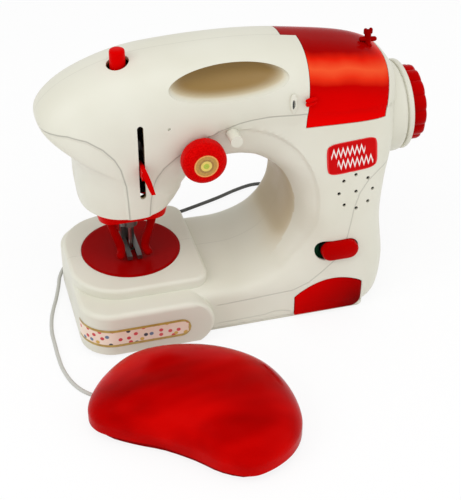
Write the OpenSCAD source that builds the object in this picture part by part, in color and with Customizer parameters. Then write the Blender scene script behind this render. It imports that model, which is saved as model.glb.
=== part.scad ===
// Toy sewing machine with a battery drive, a hand wheel and a mouse-shaped foot pedal.
// Millimetres, +Z up, +X towards the hand wheel, -Y towards the user.
// The origin is on the table, on the parting plane of the two half shells.

/* [Body] */
// Wall thickness of the two half shells
wall = 2.2; // [1.8:0.1:2.4]
// Depth of the base and column if they were as deep behind the parting plane as in front
base_d = 100; // [98:1:106]
// Depth of the base and column behind the parting plane
rear_w = 38; // [37.5:0.5:40]
// Height of the base under the work opening
base_h = 32; // [30:0.5:34]
// Depth of the arm and head, front to back
arm_d = 68; // [66:1:74]
// Height of the arm's ridge
arm_top = 173; // [171:0.5:178]
// Distance of the column's right face from the origin
column_x = 88; // [88:0.5:91]
// Distance of the work opening's right wall from the origin
opening_x = 31.5; // [31:0.5:32]
// Radius of the round end of the work opening
opening_r = 38; // [37.5:0.5:38.5]
// Distance of the nose tip left of the origin
nose_x = 114; // [112:0.5:118]
// Distance of the needle axis left of the origin
needle_x = 64; // [63:0.5:65]
// Half length of the lower head
head_r = 31; // [30:0.5:32]
// Height of the head's underside
head_z = 81; // [80:0.5:82]

/* [Bed] */
// Distance of the bed's left end from the origin
bed_x = 104; // [103:0.5:108]
// Depth of the bed's apron in front of the parting plane
apron_front = 57; // [56:0.5:59]
// Depth of the bed's apron behind the parting plane
apron_rear = 45; // [44:0.5:48]
// Height of the apron's shoulder
apron_h = 31; // [29:0.5:32]
// Distance of the apron's round right end left of the origin
apron_right = 25; // [22:0.5:26]
// Rounding of the apron's edges
apron_edge = 5; // [4:0.5:8]
// Corner radius of the apron in plan
apron_corner = 20; // [18:0.5:24]
// Depth of the raised plateau
plateau_d = 84; // [80:1:90]
// Height of the raised plateau
plateau_h = 37.5; // [36:0.5:39]
// Distance of the plateau's right end left of the origin
plateau_right = 24; // [22:0.5:26]
// Thickness of the bottom plate
plate_t = 2.5; // [2.5:0.1:3]
// Radius of the needle plate
needle_plate_r = 30.5; // [28:0.5:32]
// Thickness of the needle plate
needle_plate_t = 1.5; // [1.2:0.1:2]

/* [Drive] */
// Height of the hand wheel and main shaft axis
wheel_z = 114; // [113.5:0.5:114.5]
// Radius of the main shaft
shaft_r = 2.5; // [2:0.1:2.5]
// Outer radius of the hand wheel
wheel_r = 23; // [22:0.5:25]
// Width of the hand wheel
wheel_w = 9.4; // [9:0.2:12]
// Number of grip scallops on the hand wheel
wheel_scallops = 14; // [10:1:18]
// Outer radius of the wheel flange
flange_r = 28.3; // [27.8:0.1:28.8]
// Outer radius of the lip at the flange's end
lip_r = 27.5; // [26.5:0.1:28]
// Module of the gear pair
gear_m = 1; // [0.95:0.05:1]
// Teeth of the drive gear
gear_teeth = 40; // [40:4:40]
// Teeth of the motor pinion
pinion_teeth = 10; // [10:1:10]
// Radius of the motor can
motor_r = 12; // [10:0.5:12.5]
// Length of the motor can
motor_l = 28; // [24:0.5:30]
// Radius of the crank pin's circle, half of the needle stroke
crank_r = 8; // [7:0.5:8]
// Height of the crank pin below the shaft axis at rest
crank_drop = 3; // [2:0.5:4]

/* [Needle and foot] */
// Radius of the needle bar
needle_bar_r = 3; // [2.5:0.1:3]
// Radius of the presser bar
presser_bar_r = 2.5; // [2:0.1:2.5]
// Distance of the presser bar behind the needle
presser_y = 11; // [11:0.25:12]
// Half width of the red collar under the head
collar_r = 20.5; // [19:0.5:21]
// Height of the red collar
collar_h = 12; // [10:0.5:12]
// Radius of the needle hole
needle_hole_r = 2.5; // [2:0.1:4]

/* [Controls] */
// Radius of the tension knob
knob_r = 13; // [11:0.5:14]
// Thickness of the tension knob
knob_t = 12.7; // [10:0.5:14]
// Distance of the tension knob's axis left of the origin
knob_x = 27; // [26:0.5:28]
// Height of the tension knob's axis
knob_z = 119; // [118.5:0.5:120]
// Radius of the thread post
post_r = 3.5; // [3:0.1:3.6]
// Radius of the push button on the head
button_r = 4.5; // [4:0.1:5]
// Height of the push button's top
button_top = 177.5; // [176:0.5:180]
// Length of the switch slider
slider_l = 23; // [22:0.5:23]
// Height of the switch slider
slider_h = 12; // [10:0.5:12.4]

/* [Cover and drawer] */
// Left end of the hinged cover's lower edge
cover_x0 = 36; // [35.75:0.25:37]
// Right end of the hinged cover's lower edge
cover_x1 = 84.3; // [83.7:0.1:84.3]
// Lower edge of the hinged cover at the front
cover_z = 126.7; // [126.5:0.1:128]
// Rear edge of the hinged cover
cover_y = 32.5; // [32.4:0.1:32.6]
// Thickness of the hinged cover
cover_t = 1.8; // [1.4:0.1:2]
// Width of the drawer front
drawer_w = 43; // [40:0.5:44]
// Height of the drawer front at its arched middle
drawer_h = 26; // [25:0.5:26.5]
// Length of the drawer tray, front to back
drawer_l = 43; // [36:0.5:46]

/* [Pedal] */
// Height of the pedal's dome
pedal_h = 33; // [32.5:0.5:38]
// Height of the pedal skirt's rim above the table
pedal_rim = 5; // [5:0.1:6]
// Thickness of the pedal's skin
pedal_t = 2; // [1.8:0.1:2.4]
// Diameter of the pedal cord
cord_d = 2.4; // [2:0.1:2.4]

/* [Fits] */
// Radial running clearance of shafts in their bores
run_fit = 0.05; // [0.03:0.01:0.08]
// Gap between pieces that move past each other
gap = 0.4; // [0.3:0.05:0.5]

/* [Hidden] */
$fn = 48;

base_w = base_d / 2;
arm_w = arm_d / 2;
nx = -needle_x;
kx = -knob_x;

// The work opening is an arc on the column side and part of an ellipse at the throat.
arc_x = opening_x - opening_r;
arc_z = base_h + opening_r;
head_right = nx + head_r;
throat_r = arc_x - head_right;
throat_z = head_z + 1.5;
throat_h = base_h + 2 * opening_r - throat_z;
function arch(a) = [arc_x + opening_r * cos(a), arc_z + opening_r * sin(a)];
function throat(a) = [arc_x + throat_r * cos(a), throat_z + throat_h * sin(a)];
function station(inner, outer, half_w, n_in, n_back, n_out) =
  [inner[0], inner[1], outer[0], outer[1], half_w, n_in, n_back, n_out];

// Sections of the C-shaped body, from the bed round the column to the head: a point on the
// opening's edge, a point on the outline, the half depth, and the roundings of the opening's
// front edge, its rear edge and the outline.
stations = [
  station([nx, base_h], [nx, 0], base_w, 6, 6, 8),
  station([arc_x - 17, base_h], [arc_x - 17, 0], base_w, 6, 6, 8),
  station(arch(-84), [column_x - 73, 0], base_w, 5, 6, 8),
  station(arch(-58), [column_x - 43, 0], base_w, 4, 6, 8),
  station(arch(-38), [column_x - 20, 0], base_w, 3.4, 6, 8),
  station(arch(-20), [column_x - 5, 7], base_w, 3.2, 6, 6),
  station(arch(-6), [column_x + 0.5, base_h - 2], base_w - 1, 3.2, 6, 5),
  station(arch(6), [column_x - 2, base_h + 29], base_w - 3, 3.2, 6, 5),
  station(arch(20), [column_x + 0.5, wheel_z - 29], base_w - 6, 3.2, 6, 5),
  station(arch(38), [column_x + 5, wheel_z - 7], arm_w + 7, 3.4, 5.5, 5),
  station(arch(55), [column_x + 7.5, wheel_z + 13], arm_w + 4, 4, 5, 4),
  station(arch(70), [column_x + 7.5, arm_top - 24.5], arm_w + 2, 4.2, 5, 3),
  station(arch(82), [column_x - 9.5, arm_top - 12.5], arm_w + 1, 4.4, 4.4, 2.6),
  station(arch(90), [column_x - 47, arm_top - 4.7], arm_w + 0.5, 4.4, 4.4, 2.5),
  station(throat(105), [column_x - 80, arm_top - 0.5], arm_w, 4.4, 4.4, 2.4),
  station(throat(125), [nx + 34, arm_top], arm_w, 4, 4, 2.4),
  station(throat(142), [nx - 1, arm_top - 2.8], arm_w, 3, 3, 2.4),
  station(throat(156), [19 - nose_x, arm_top - 12.8], arm_w, 3, 3, 2.4),
  station(throat(167), [2 - nose_x, arm_top - 26], arm_w, 2.6, 2.6, 2.4),
  station(throat(174), [-nose_x, arm_top - 38], arm_w, 2.5, 2.5, 2.4),
  station([head_right - 0.5, head_z + 3.5], [nx - head_r - 7, head_z + 41], arm_w, 2.4, 2.4, 2.4),
  station([head_right - 1.5, head_z + 2.3], [nx - head_r - 1, head_z + 26.5], arm_w, 2.3, 2.3, 2.4),
  station([head_right - 3, head_z + 1.1], [nx - head_r - 0.2, head_z + 12], arm_w, 2.3, 2.3, 2.4),
  station([head_right - 5, head_z], [nx - head_r + 1, head_z + 0.5], arm_w, 2.3, 2.3, 2.3)
];
section_steps = 2;
section_points = 24;

// Catmull-Rom point between p1 and p2.
function spline(p0, p1, p2, p3, t) = 0.5 * (2 * p1 + (p2 - p0) * t
  + (2 * p0 - 5 * p1 + 4 * p2 - p3) * t * t + (3 * p1 - p0 - 3 * p2 + p3) * t * t * t);
function open_spline(p, steps) = let (last = len(p) - 1) [
  for (i = [0:last - 1], k = [0:steps - 1])
    spline(p[max(i - 1, 0)], p[i], p[i + 1], p[min(i + 2, last)], k / steps),
  p[last]
];
function closed_spline(p, steps) = let (n = len(p)) [
  for (i = [0:n - 1], k = [0:steps - 1])
    spline(p[(i + n - 1) % n], p[i], p[(i + 1) % n], p[(i + 2) % n], k / steps)
];
rings = open_spline(stations, section_steps);
function section(h, front, rear, n_in, n_back, n_out) = [
  for (k = [0:section_points - 1])
    let (
      a = 360 * k / section_points,
      c = cos(a),
      s = sin(a),
      n = c > 0 ? n_out : s > 0 ? n_back : n_in,
      w = s > 0 ? rear : front
    )
    [sign(c) * h * pow(abs(c), 2 / n), sign(s) * w * pow(abs(s), 2 / n)]
];

function ring_points(r, inset) = let (
  d = [r[2] - r[0], r[3] - r[1]],
  u = d / norm(d),
  mid = [r[0] + r[2], r[1] + r[3]] / 2,
  rear = min(r[4], rear_w)
) [for (q = section(norm(d) / 2 - inset, r[4] - inset, rear - inset, r[5], r[6], r[7]))
    [mid[0] + q[0] * u[0], q[1], mid[1] + q[0] * u[1]]];

// The C-shaped body as one skin over its sections, drawn in by an inset.
module body_form(inset) {
  n = len(rings);
  m = section_points;
  skin = [for (i = [0:n - 2], k = [0:m - 1], half = [0, 1])
    let (a = i * m + k, b = i * m + (k + 1) % m)
    half == 0 ? [a, a + m, b] : [b, a + m, b + m]];
  first = [[for (k = [0:m - 1]) k]];
  last = [[for (k = [m - 1:-1:0]) (n - 1) * m + k]];
  polyhedron([for (r = rings) each ring_points(r, inset)], concat(skin, first, last));
}

// A disc with a rounded rim.
module soft_disc(r, h, edge) {
  hull() {
    cylinder(r = r, h = h - edge, $fn = 32);
    cylinder(r = r - 0.3 * edge, h = h - 0.3 * edge, $fn = 32);
    cylinder(r = r - edge, h = h, $fn = 32);
  }
}

module apron_form(inset) {
  end_r = apron_h / 2 - inset;
  hull()
    for (side = [-1, 1]) {
      depth = side < 0 ? apron_front : apron_rear;
      translate([apron_corner - bed_x, side * (depth - apron_corner), 0])
        soft_disc(apron_corner - inset, apron_h - inset, apron_edge);
      translate([-apron_right - apron_h / 2, 0, apron_h / 2])
        rotate([-side * 90, 0, 0])
          soft_disc(end_r, depth - inset, apron_edge);
    }
}

plateau_left_r = 30;
plateau_right_r = 10;
module plateau_form(inset) {
  hull()
    for (side = [-1, 1]) {
      translate([plateau_left_r - bed_x, side * (plateau_d / 2 - plateau_left_r), 0])
        soft_disc(plateau_left_r - inset, plateau_h - inset, 2);
      translate([-plateau_right - plateau_right_r, side * (plateau_d / 2 - plateau_right_r), 0])
        soft_disc(plateau_right_r - inset, plateau_h - inset, 2);
    }
}

module machine_form(inset) {
  body_form(inset);
  apron_form(inset);
  plateau_form(inset);
}

// The hollow inside the shells, which leaves the head's floor in place.
module cavity() {
  difference() {
    machine_form(wall);
    translate([-nose_x, -arm_d, head_z - wall])
      cube([nose_x + head_right + wall, 2 * arm_d, 2 * wall]);
  }
}

big = 400;
module half_space(side) {
  translate([-big / 2, side < 0 ? -big : 0, plate_t])
    cube([big, big, big]);
}

// A cylinder along Y between two values of y.
module rod_y(x, z, y0, y1, r) {
  translate([x, max(y0, y1), z])
    rotate([90, 0, 0])
      cylinder(r = r, h = abs(y1 - y0));
}

// A cylinder along X between two values of x.
module rod_x(x0, x1, y, z, r) {
  translate([x0, y, z])
    rotate([0, 90, 0])
      cylinder(r = r, h = x1 - x0);
}

// Places of the case screws, as x and z.
screw_spots = [[16 - nose_x, arm_top - 35], [-10, arm_top - 32], [24, wheel_z + 8.5],
  [column_x - 8, base_h + 20], [5, base_h / 2]];
screw_post_r = 4.5;
screw_r = 1.4;
screw_head_r = 2.9;
screw_head_h = 2.4;
screw_seat = 18;
screw_tip = 10;

// The finger recess of the carrying handle, on both sides of the arm: a tilted ellipsoid.
grip_x = -8.5;
grip_y = 30;
grip_z = arm_top - 15.2;
grip_size = [36, 16, 8.3];
grip_tilt = 28;
module grip_form(side, grow) {
  translate([grip_x, side * grip_y, grip_z])
    rotate([-side * grip_tilt, 0, 0])
      scale(grip_size + [grow, grow, grow])
        sphere(r = 1, $fn = 24);
}

// The window that the hinged cover fills, grown by a clearance. Its right edge stands square to
// the hinge, so that the cover leaves it without rubbing.
hinge_slope = 10.6;
cover_lean = 0.08;
tongue_x = 30;
module cover_window(grow) {
  rise = 100;
  x0 = cover_x0 - grow;
  x1 = cover_x1 + grow;
  z0 = cover_z - grow;
  translate([0, cover_y + grow, 0])
    rotate([90, 0, 0])
      linear_extrude(big / 2)
        polygon([[x0, z0], [x1, z0], [x1 + rise * tan(hinge_slope), z0 + rise],
          [x0 + rise * cover_lean, z0 + rise]]);
  translate([tongue_x - grow, -grow, cover_z - grow])
    cube([cover_x0 + 10 - tongue_x, cover_y + 2 * grow, big]);
}

drawer_x0 = 27.5;
drawer_side_h = 16;
drawer_side_rise = 4;
drawer_arc_steps = 12;
// Outline of the drawer front in x and z, with an arched top.
function drawer_outline(grow) = concat(
  [[drawer_x0 - grow, plate_t + gap - grow], [drawer_x0 + drawer_w + grow, plate_t + gap - grow]],
  [for (k = [0:drawer_arc_steps])
    let (t = 1 - k / drawer_arc_steps)
    [drawer_x0 - grow + t * (drawer_w + 2 * grow),
     drawer_side_h + grow + drawer_side_rise * t
       + (drawer_h - drawer_side_h - drawer_side_rise / 2) * pow(sin(180 * t), 0.8)]]
);
module drawer_prism(y0, y1, grow) {
  translate([0, y1, 0])
    rotate([90, 0, 0])
      linear_extrude(y1 - y0)
        polygon(drawer_outline(grow));
}

// The window of the slide switch.
switch_x = 53.6;
switch_z = base_h + 15;
switch_window_l = 27.4;
switch_window_h = slider_h + 2 * gap;
module stadium_y(x, z, l, h, y0, y1) {
  rod_y(x - (l - h) / 2, z, y0, y1, h / 2);
  rod_y(x + (l - h) / 2, z, y0, y1, h / 2);
  translate([x - (l - h) / 2, min(y0, y1), z - h / 2])
    cube([l - h, abs(y1 - y0), h]);
}

speaker_x = 65.5;
speaker_z = wheel_z - 30.5;
speaker_r = 13;
speaker_back = base_w - 14;
speaker_hole_r = 1.1;
speaker_ring_r = 10.6;
speaker_holes = 8;

board_y = base_w - 14;
board_x0 = 43;
board_x1 = 75;
board_z0 = base_h;
board_z1 = base_h + 36;
board_t = 1.6;
board_post_r = 3;
board_posts = [[board_x0 + 4, board_z1 - 5], [board_x1 - 4, board_z1 - 5]];

spindle_r = 2.5;
spindle_boss_r = 5;
spindle_back = 20;
seat_fit = 0.1;
post_back = 24;
post_x = -8;
post_z = wheel_z + 15;
slot_x = nx + 3;
slot_w = 3.6;
slot_z0 = head_z + 15;
slot_z1 = head_z + 59;
button_x = nx - 3;
button_y = -7;
button_hole_r = button_r + 2;
gland_r = 3.2;
gland_x = 64;
gland_z = 6.5;
floor_hole_r = 14;
ledge = 2.7;
ledge_t = needle_plate_t - 0.5;

// Sides of the small round features on the shells.
feature_sides = 20;
module screw_posts(side) {
  for (s = screw_spots)
    rod_y(s[0], s[1], 0, side * base_d, screw_post_r);
}

module front_features() {
  screw_posts(-1);
  grip_form(-1, wall);
  rod_y(kx, knob_z, -spindle_back, -base_d, spindle_boss_r);
  rod_y(post_x, post_z, -post_back, -base_d, post_r + wall);
  difference() {
    rod_y(speaker_x, speaker_z, -speaker_back, -base_d, speaker_r + 2);
    rod_y(speaker_x, speaker_z, 0, -base_d, speaker_r + 0.3);
  }
  for (p = board_posts)
    rod_y(p[0], p[1], -board_y - board_t, -base_d, board_post_r);
}

module shell_openings() {
  cover_window(gap);
  rod_x(column_x - 2 - gap, column_x + 60, 0, wheel_z, flange_r + seat_fit, $fn = 96);
  translate([button_x, button_y, arm_top - 30])
    cylinder(r = button_hole_r, h = 60);
  translate([nx, 0, plateau_h - ledge_t])
    cylinder(r = needle_plate_r + 2 * seat_fit, h = 10, $fn = 48);
  translate([nx, 0, plateau_h - 12])
    cylinder(r = needle_plate_r - ledge, h = 12);
  translate([nx, 0, head_z - 5])
    cylinder(r = floor_hole_r, h = 12);
}

module front_cuts() {
  shell_openings();
  grip_form(-1, 0);
  for (s = screw_spots)
    rod_y(s[0], s[1], seat_fit, -screw_tip - 1, screw_r + seat_fit);
  rod_y(kx, knob_z, 0, -base_d, spindle_r + seat_fit);
  rod_y(post_x, post_z, -post_back - 3, -base_d, post_r + seat_fit);
  hull()
    for (z = [slot_z0, slot_z1])
      rod_y(slot_x, z, -arm_w / 2, -base_d, slot_w / 2);
  stadium_y(switch_x, switch_z, switch_window_l, switch_window_h, -base_w / 2, -base_d);
  drawer_prism(-base_d, -base_w / 2, gap);
  rod_y(speaker_x, speaker_z, -speaker_back, -base_d, speaker_hole_r);
  for (k = [0:speaker_holes - 1])
    rod_y(speaker_x + speaker_ring_r * cos(360 * k / speaker_holes),
      speaker_z + speaker_ring_r * sin(360 * k / speaker_holes),
      -speaker_back, -base_d, speaker_hole_r);
}

module front_shell() {
  $fn = feature_sides;
  color("ivory")
    difference() {
      intersection() {
        machine_form(0);
        half_space(-1);
      }
      difference() {
        cavity();
        front_features();
      }
      front_cuts();
    }
}

module rear_shell() {
  $fn = feature_sides;
  color("ivory")
    difference() {
      intersection() {
        machine_form(0);
        half_space(1);
      }
      difference() {
        cavity();
        screw_posts(1);
        grip_form(1, wall);
      }
      shell_openings();
      grip_form(1, 0);
      for (s = screw_spots) {
        rod_y(s[0], s[1], -seat_fit, base_d, screw_r + 2 * seat_fit);
        rod_y(s[0], s[1], screw_seat, base_d, screw_head_r + gap);
      }
      rod_y(gland_x, gland_z, rear_w / 2, base_d, gland_r + seat_fit);
    }
}

module case_screws() {
  color("silver")
    for (s = screw_spots) {
      rod_y(s[0], s[1], -screw_tip, screw_seat, screw_r);
      rod_y(s[0], s[1], screw_seat, screw_seat + screw_head_h, screw_head_r);
    }
}

// A rectangle with round corners, from x0 to x1 and from y0 to y1.
module round_rect(x0, x1, y0, y1, r) {
  translate([x0, y0 + r])
    square([x1 - x0, y1 - y0 - 2 * r]);
  translate([x0 + r, y0])
    square([x1 - x0 - 2 * r, y1 - y0]);
  for (x = [x0 + r, x1 - r], y = [y0 + r, y1 - r])
    translate([x, y])
      circle(r = r);
}

door_x0 = nx - 31;
door_x1 = nx + 21;
door_w = 24;
door_lip = 2;
door_lip_t = 1.3;
plate_inset = 3.5;
module base_plate() {
  color("ivory")
    difference() {
      linear_extrude(plate_t)
        union() {
          round_rect(-apron_right - 20, column_x - 14, plate_inset - base_w, rear_w - plate_inset, 5);
          round_rect(plate_inset - bed_x, -apron_right - 4, plate_inset - apron_front,
            apron_rear - plate_inset, apron_corner - plate_inset);
        }
      translate([door_x0, -door_w, -1])
        cube([door_x1 - door_x0, 2 * door_w, plate_t + 2]);
      translate([door_x0 - door_lip, -door_w - door_lip, -1])
        cube([door_x1 - door_x0 + 2 * door_lip, 2 * (door_w + door_lip), 1 + door_lip_t]);
    }
}

module battery_door() {
  color("ivory") {
    translate([door_x0 - door_lip + gap, -door_w - door_lip + gap, 0.2])
      cube([door_x1 - door_x0 + 2 * (door_lip - gap), 2 * (door_w + door_lip - gap), door_lip_t - 0.2]);
    translate([door_x0 + gap, -door_w + gap, door_lip_t])
      cube([door_x1 - door_x0 - 2 * gap, 2 * (door_w - gap), plate_t - door_lip_t]);
  }
}

battery_r = 7.2;
battery_l = 50.5;
battery_pitch = 15.6;
battery_x = door_x0 + 0.5;
battery_nub = 1;
battery_nub_r = 2.6;
module batteries() {
  color("darkgoldenrod")
    for (k = [-1:1])
      rod_x(battery_x, battery_x + battery_l - battery_nub, k * battery_pitch, plate_t + battery_r,
        battery_r);
  color("silver")
    for (k = [-1:1])
      rod_x(battery_x + battery_l - battery_nub, battery_x + battery_l, k * battery_pitch,
        plate_t + battery_r, battery_nub_r);
}

contact_t = 0.8;
contact_h = 14;
module battery_contacts() {
  color("silver") {
    translate([door_x0 - 0.2 - contact_t, -door_w + 2, plate_t])
      cube([contact_t, 2 * door_w - 4, contact_h]);
    for (k = [-1:1])
      rod_x(door_x0 - 0.2, battery_x, k * battery_pitch, plate_t + battery_r, 3);
    translate([door_x1 + 0.2, -door_w + 2, plate_t])
      cube([contact_t, 2 * door_w - 4, contact_h]);
    for (k = [-1:1])
      rod_x(battery_x + battery_l, door_x1 + 0.2, k * battery_pitch, plate_t + battery_r, 3);
  }
}

plate_seat = plateau_h - ledge_t;
module needle_plate() {
  color("firebrick")
    difference() {
      translate([nx, 0, plate_seat])
        cylinder(r = needle_plate_r, h = needle_plate_t);
      translate([nx, 0, plate_seat - 1])
        cylinder(r = needle_hole_r, h = needle_plate_t + 2);
    }
}

collar_hole_r = 15;
collar_corner = 8;
collar_flare = 1.1;
collar_sink = 0.8;
module collar() {
  half = collar_r;
  color("firebrick")
    translate([nx, 0, head_z - collar_h])
      difference() {
        linear_extrude(collar_h + collar_sink, scale = collar_flare)
          round_rect(-half, half, 1.5 - half, half - 1.5, collar_corner);
        translate([0, 0, -1])
          cylinder(r = collar_hole_r, h = collar_h + 4);
      }
}

// Two bent legs that keep fingers away from the needle.
guard_r = 2.6;
guard_y = -8;
guard_top_x = collar_r - 6;
guard_low_x = 7.5;
module guard_leg(side) {
  top_z = head_z - collar_h;
  path = [[guard_top_x, guard_y, top_z + 1], [guard_top_x - 3, guard_y, top_z - 10],
    [guard_low_x, guard_y, plate_seat + 9], [guard_low_x + 1, guard_y - 4, plate_seat + 5.1]];
  for (i = [0:len(path) - 2])
    hull()
      for (p = [path[i], path[i + 1]])
        translate([nx + side * p[0], p[1], p[2]])
          sphere(r = guard_r, $fn = 10);
}
module needle_guard() {
  color("firebrick")
    for (side = [-1, 1])
      guard_leg(side);
}

frame_floor = head_z + wall;
frame_t = 3;
frame_wall_x = nx + 18;
guide_top = head_z + 14;
button_floor = arm_top - 25;
module head_frame() {
  color("gainsboro")
    difference() {
      union() {
        translate([nx - 18, -10, frame_floor])
          cube([36 + frame_t, 28, frame_t]);
        translate([frame_wall_x, -10, frame_floor + frame_t])
          cube([frame_t, 20, button_floor - frame_floor - frame_t]);
        translate([button_x - 8, button_y - 8, button_floor - frame_t])
          cube([frame_wall_x - button_x + 8, 16, frame_t]);
        translate([nx, 0, frame_floor])
          cylinder(r = needle_bar_r + 2.5, h = guide_top - frame_floor);
        translate([nx, presser_y, frame_floor])
          cylinder(r = presser_bar_r + 2.5, h = guide_top - frame_floor);
      }
      translate([nx, 0, frame_floor - 1])
        cylinder(r = needle_bar_r + run_fit, h = guide_top);
      translate([nx, presser_y, frame_floor - 1])
        cylinder(r = presser_bar_r + run_fit, h = guide_top);
      rod_x(frame_wall_x - 1, frame_wall_x + frame_t + 1, 0, wheel_z, bush_r);
    }
}

bush_r = shaft_r + 2.5;
module bush(x0, x1) {
  difference() {
    rod_x(x0, x1, 0, wheel_z, bush_r);
    rod_x(x0 - 1, x1 + 1, 0, wheel_z, shaft_r + run_fit);
  }
}
module left_bush() {
  color("goldenrod")
    bush(frame_wall_x, frame_wall_x + frame_t + 2);
}

flange_x0 = column_x - 2;
flange_step = column_x + 14.5;
flange_end = column_x + 19;
flange_wall = 3;
flange_end_t = 4;
flange_groove = 1.6;
module wheel_flange() {
  step = flange_step - flange_x0;
  end = flange_end - flange_x0;
  profile = [
    [flange_r - flange_wall, 0], [flange_r, 0], [flange_r, step - 2], [flange_r - 0.8, step],
    [lip_r - flange_groove, step], [lip_r - flange_groove, step + 0.8], [lip_r, step + 0.8],
    [lip_r, end - 1], [lip_r - 1, end], [bush_r, end], [bush_r, end - flange_end_t],
    [lip_r - flange_groove - flange_wall, end - flange_end_t],
    [lip_r - flange_groove - flange_wall, step - flange_wall],
    [flange_r - flange_wall, step - flange_wall]
  ];
  color("ivory")
    translate([flange_x0, 0, wheel_z])
      rotate([0, 90, 0])
        rotate_extrude()
          polygon(profile);
}
module right_bush() {
  color("goldenrod")
    bush(flange_end - flange_end_t, flange_end);
}

gear_r = gear_m * gear_teeth / 2;
pinion_r = gear_m * pinion_teeth / 2;
motor_z = wheel_z - gear_r - pinion_r;
gear_t = 5;
gear_x = column_x - 11;
motor_frame_t = 2;
motor_frame_x = gear_x - 2 - motor_frame_t;
motor_x0 = motor_frame_x - motor_l;
motor_shaft_r = 1;
standoff_r = 1.5;
standoff_circle = flange_r - flange_wall / 2;
standoff_angles = [20, 160, 215, 325];

// Involute spur gear outline. The flank is the involute of the base circle, and backlash thins it.
pressure_angle = 20;
backlash = 0.12;
flank_steps = 4;
function involute_angle(rb, r) = let (t = sqrt(max(r * r / (rb * rb) - 1, 0))) t * 180 / PI - atan(t);
function tooth_half(teeth, r) = let (rp = gear_m * teeth / 2, rb = rp * cos(pressure_angle))
  90 / teeth - backlash / rp * 90 / PI + involute_angle(rb, rp) - involute_angle(rb, max(r, rb));
function gear_outline(teeth) = let (
  rp = gear_m * teeth / 2,
  root = rp - 1.25 * gear_m,
  tip = rp + 0.95 * gear_m,
  start = max(root + 0.1, rp * cos(pressure_angle))
) [
  for (i = [0:teeth - 1], side = [-1, 1], k = [0:flank_steps])
    let (
      f = side < 0 ? k / flank_steps : 1 - k / flank_steps,
      r = k == (side < 0 ? 0 : flank_steps) ? root : start + (tip - start) * f,
      a = 360 * i / teeth + side * tooth_half(teeth, r)
    )
    [r * cos(a), r * sin(a)]
];
module gear(x0, z, teeth, turn, bore_r) {
  translate([x0, 0, z])
    rotate([0, 90, 0])
      difference() {
        rotate([0, 0, turn])
          linear_extrude(gear_t)
            polygon(gear_outline(teeth));
        translate([0, 0, -1])
          cylinder(r = bore_r, h = gear_t + 2);
      }
}
module drive_gear() {
  color("white")
    gear(gear_x, wheel_z, gear_teeth, 0, shaft_r);
}
module motor_pinion() {
  color("white")
    gear(gear_x, motor_z, pinion_teeth, 180 + 180 / pinion_teeth, motor_shaft_r);
}

module motor_frame() {
  half = standoff_circle * cos(standoff_angles[0]) + 2;
  top = tray_z + tray_t;
  color("gainsboro") {
    difference() {
      translate([motor_frame_x, -half, motor_z - motor_r])
        cube([motor_frame_t, 2 * half, top - motor_z + motor_r]);
      rod_x(motor_frame_x - 1, gear_x, 0, wheel_z, shaft_r + 1.5);
      rod_x(motor_frame_x - 1, gear_x, 0, motor_z, motor_shaft_r + 1.5);
    }
    for (a = standoff_angles)
      rod_x(motor_frame_x + motor_frame_t, flange_x0, standoff_circle * cos(a),
        wheel_z + standoff_circle * sin(a), standoff_r);
  }
}
module motor() {
  color("silver")
    difference() {
      rod_x(motor_x0, motor_frame_x, 0, motor_z, motor_r);
      rod_x(motor_frame_x - 3, motor_frame_x + 1, 0, motor_z, motor_shaft_r + run_fit);
    }
}
module motor_shaft() {
  color("dimgray")
    rod_x(motor_frame_x - 2.5, gear_x + gear_t, 0, motor_z, motor_shaft_r);
}

crank_t = 3;
crank_x = frame_wall_x - 0.5 - crank_t;
crank_pin_r = 2;
crank_pin_l = 3.5;
crank_disc_r = crank_r + 4;
wheel_x0 = flange_end + 0.6;
module main_shaft() {
  color("dimgray")
    rod_x(crank_x, wheel_x0 + wheel_w - 3, 0, wheel_z, shaft_r);
}
scallop_depth = 1.1;
scallop_steps = 6;
module hand_wheel() {
  n = wheel_scallops * scallop_steps;
  color("firebrick")
    translate([wheel_x0, 0, wheel_z])
      rotate([0, 90, 0])
        difference() {
          linear_extrude(wheel_w)
            polygon([for (k = [0:n - 1])
              let (r = wheel_r - scallop_depth * (1 - abs(sin(180 * k / scallop_steps))))
              [r * cos(360 * k / n), r * sin(360 * k / n)]]);
          translate([0, 0, -1])
            cylinder(r = shaft_r, h = wheel_w - 2);
        }
}
// The crank pin stands at its real angle for the needle's height at rest.
crank_pin_z = wheel_z - crank_drop;
crank_pin_y = sqrt(crank_r * crank_r - crank_drop * crank_drop);
module crank_disc() {
  color("gainsboro") {
    difference() {
      rod_x(crank_x, crank_x + crank_t, 0, wheel_z, crank_disc_r);
      rod_x(crank_x - 1, crank_x + crank_t + 1, 0, wheel_z, shaft_r);
    }
    rod_x(crank_x - crank_pin_l, crank_x, crank_pin_y, crank_pin_z, crank_pin_r);
  }
}

// The needle bar carries a slotted yoke plate. The crank pin ends just short of its face.
yoke_t = 3;
yoke_x1 = crank_x - crank_pin_l - gap;
yoke_half = crank_r + crank_pin_r + 4;
yoke_h = 12;
yoke_slot_h = 2 * crank_pin_r + 0.6;
bar_low = head_z - 17;
bar_high = wheel_z + 6;
module needle_bar() {
  color("silver") {
    translate([nx, 0, bar_low])
      cylinder(r = needle_bar_r, h = bar_high - bar_low);
    difference() {
      translate([yoke_x1 - yoke_t, -yoke_half, crank_pin_z - yoke_h / 2])
        cube([yoke_t, 2 * yoke_half, yoke_h]);
      stadium_slot(crank_pin_z);
    }
    translate([nx, -needle_bar_r + 0.5, crank_pin_z - 3])
      cube([yoke_x1 - yoke_t - nx, 2 * needle_bar_r - 1, 6]);
  }
}
module stadium_slot(z) {
  half = yoke_half - 4;
  for (y = [-half, half])
    rod_x(yoke_x1 - 1, yoke_x1 + 1, y, z, yoke_slot_h / 2);
  translate([yoke_x1 - 1, -half, z - yoke_slot_h / 2])
    cube([2, 2 * half, yoke_slot_h]);
}

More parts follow.
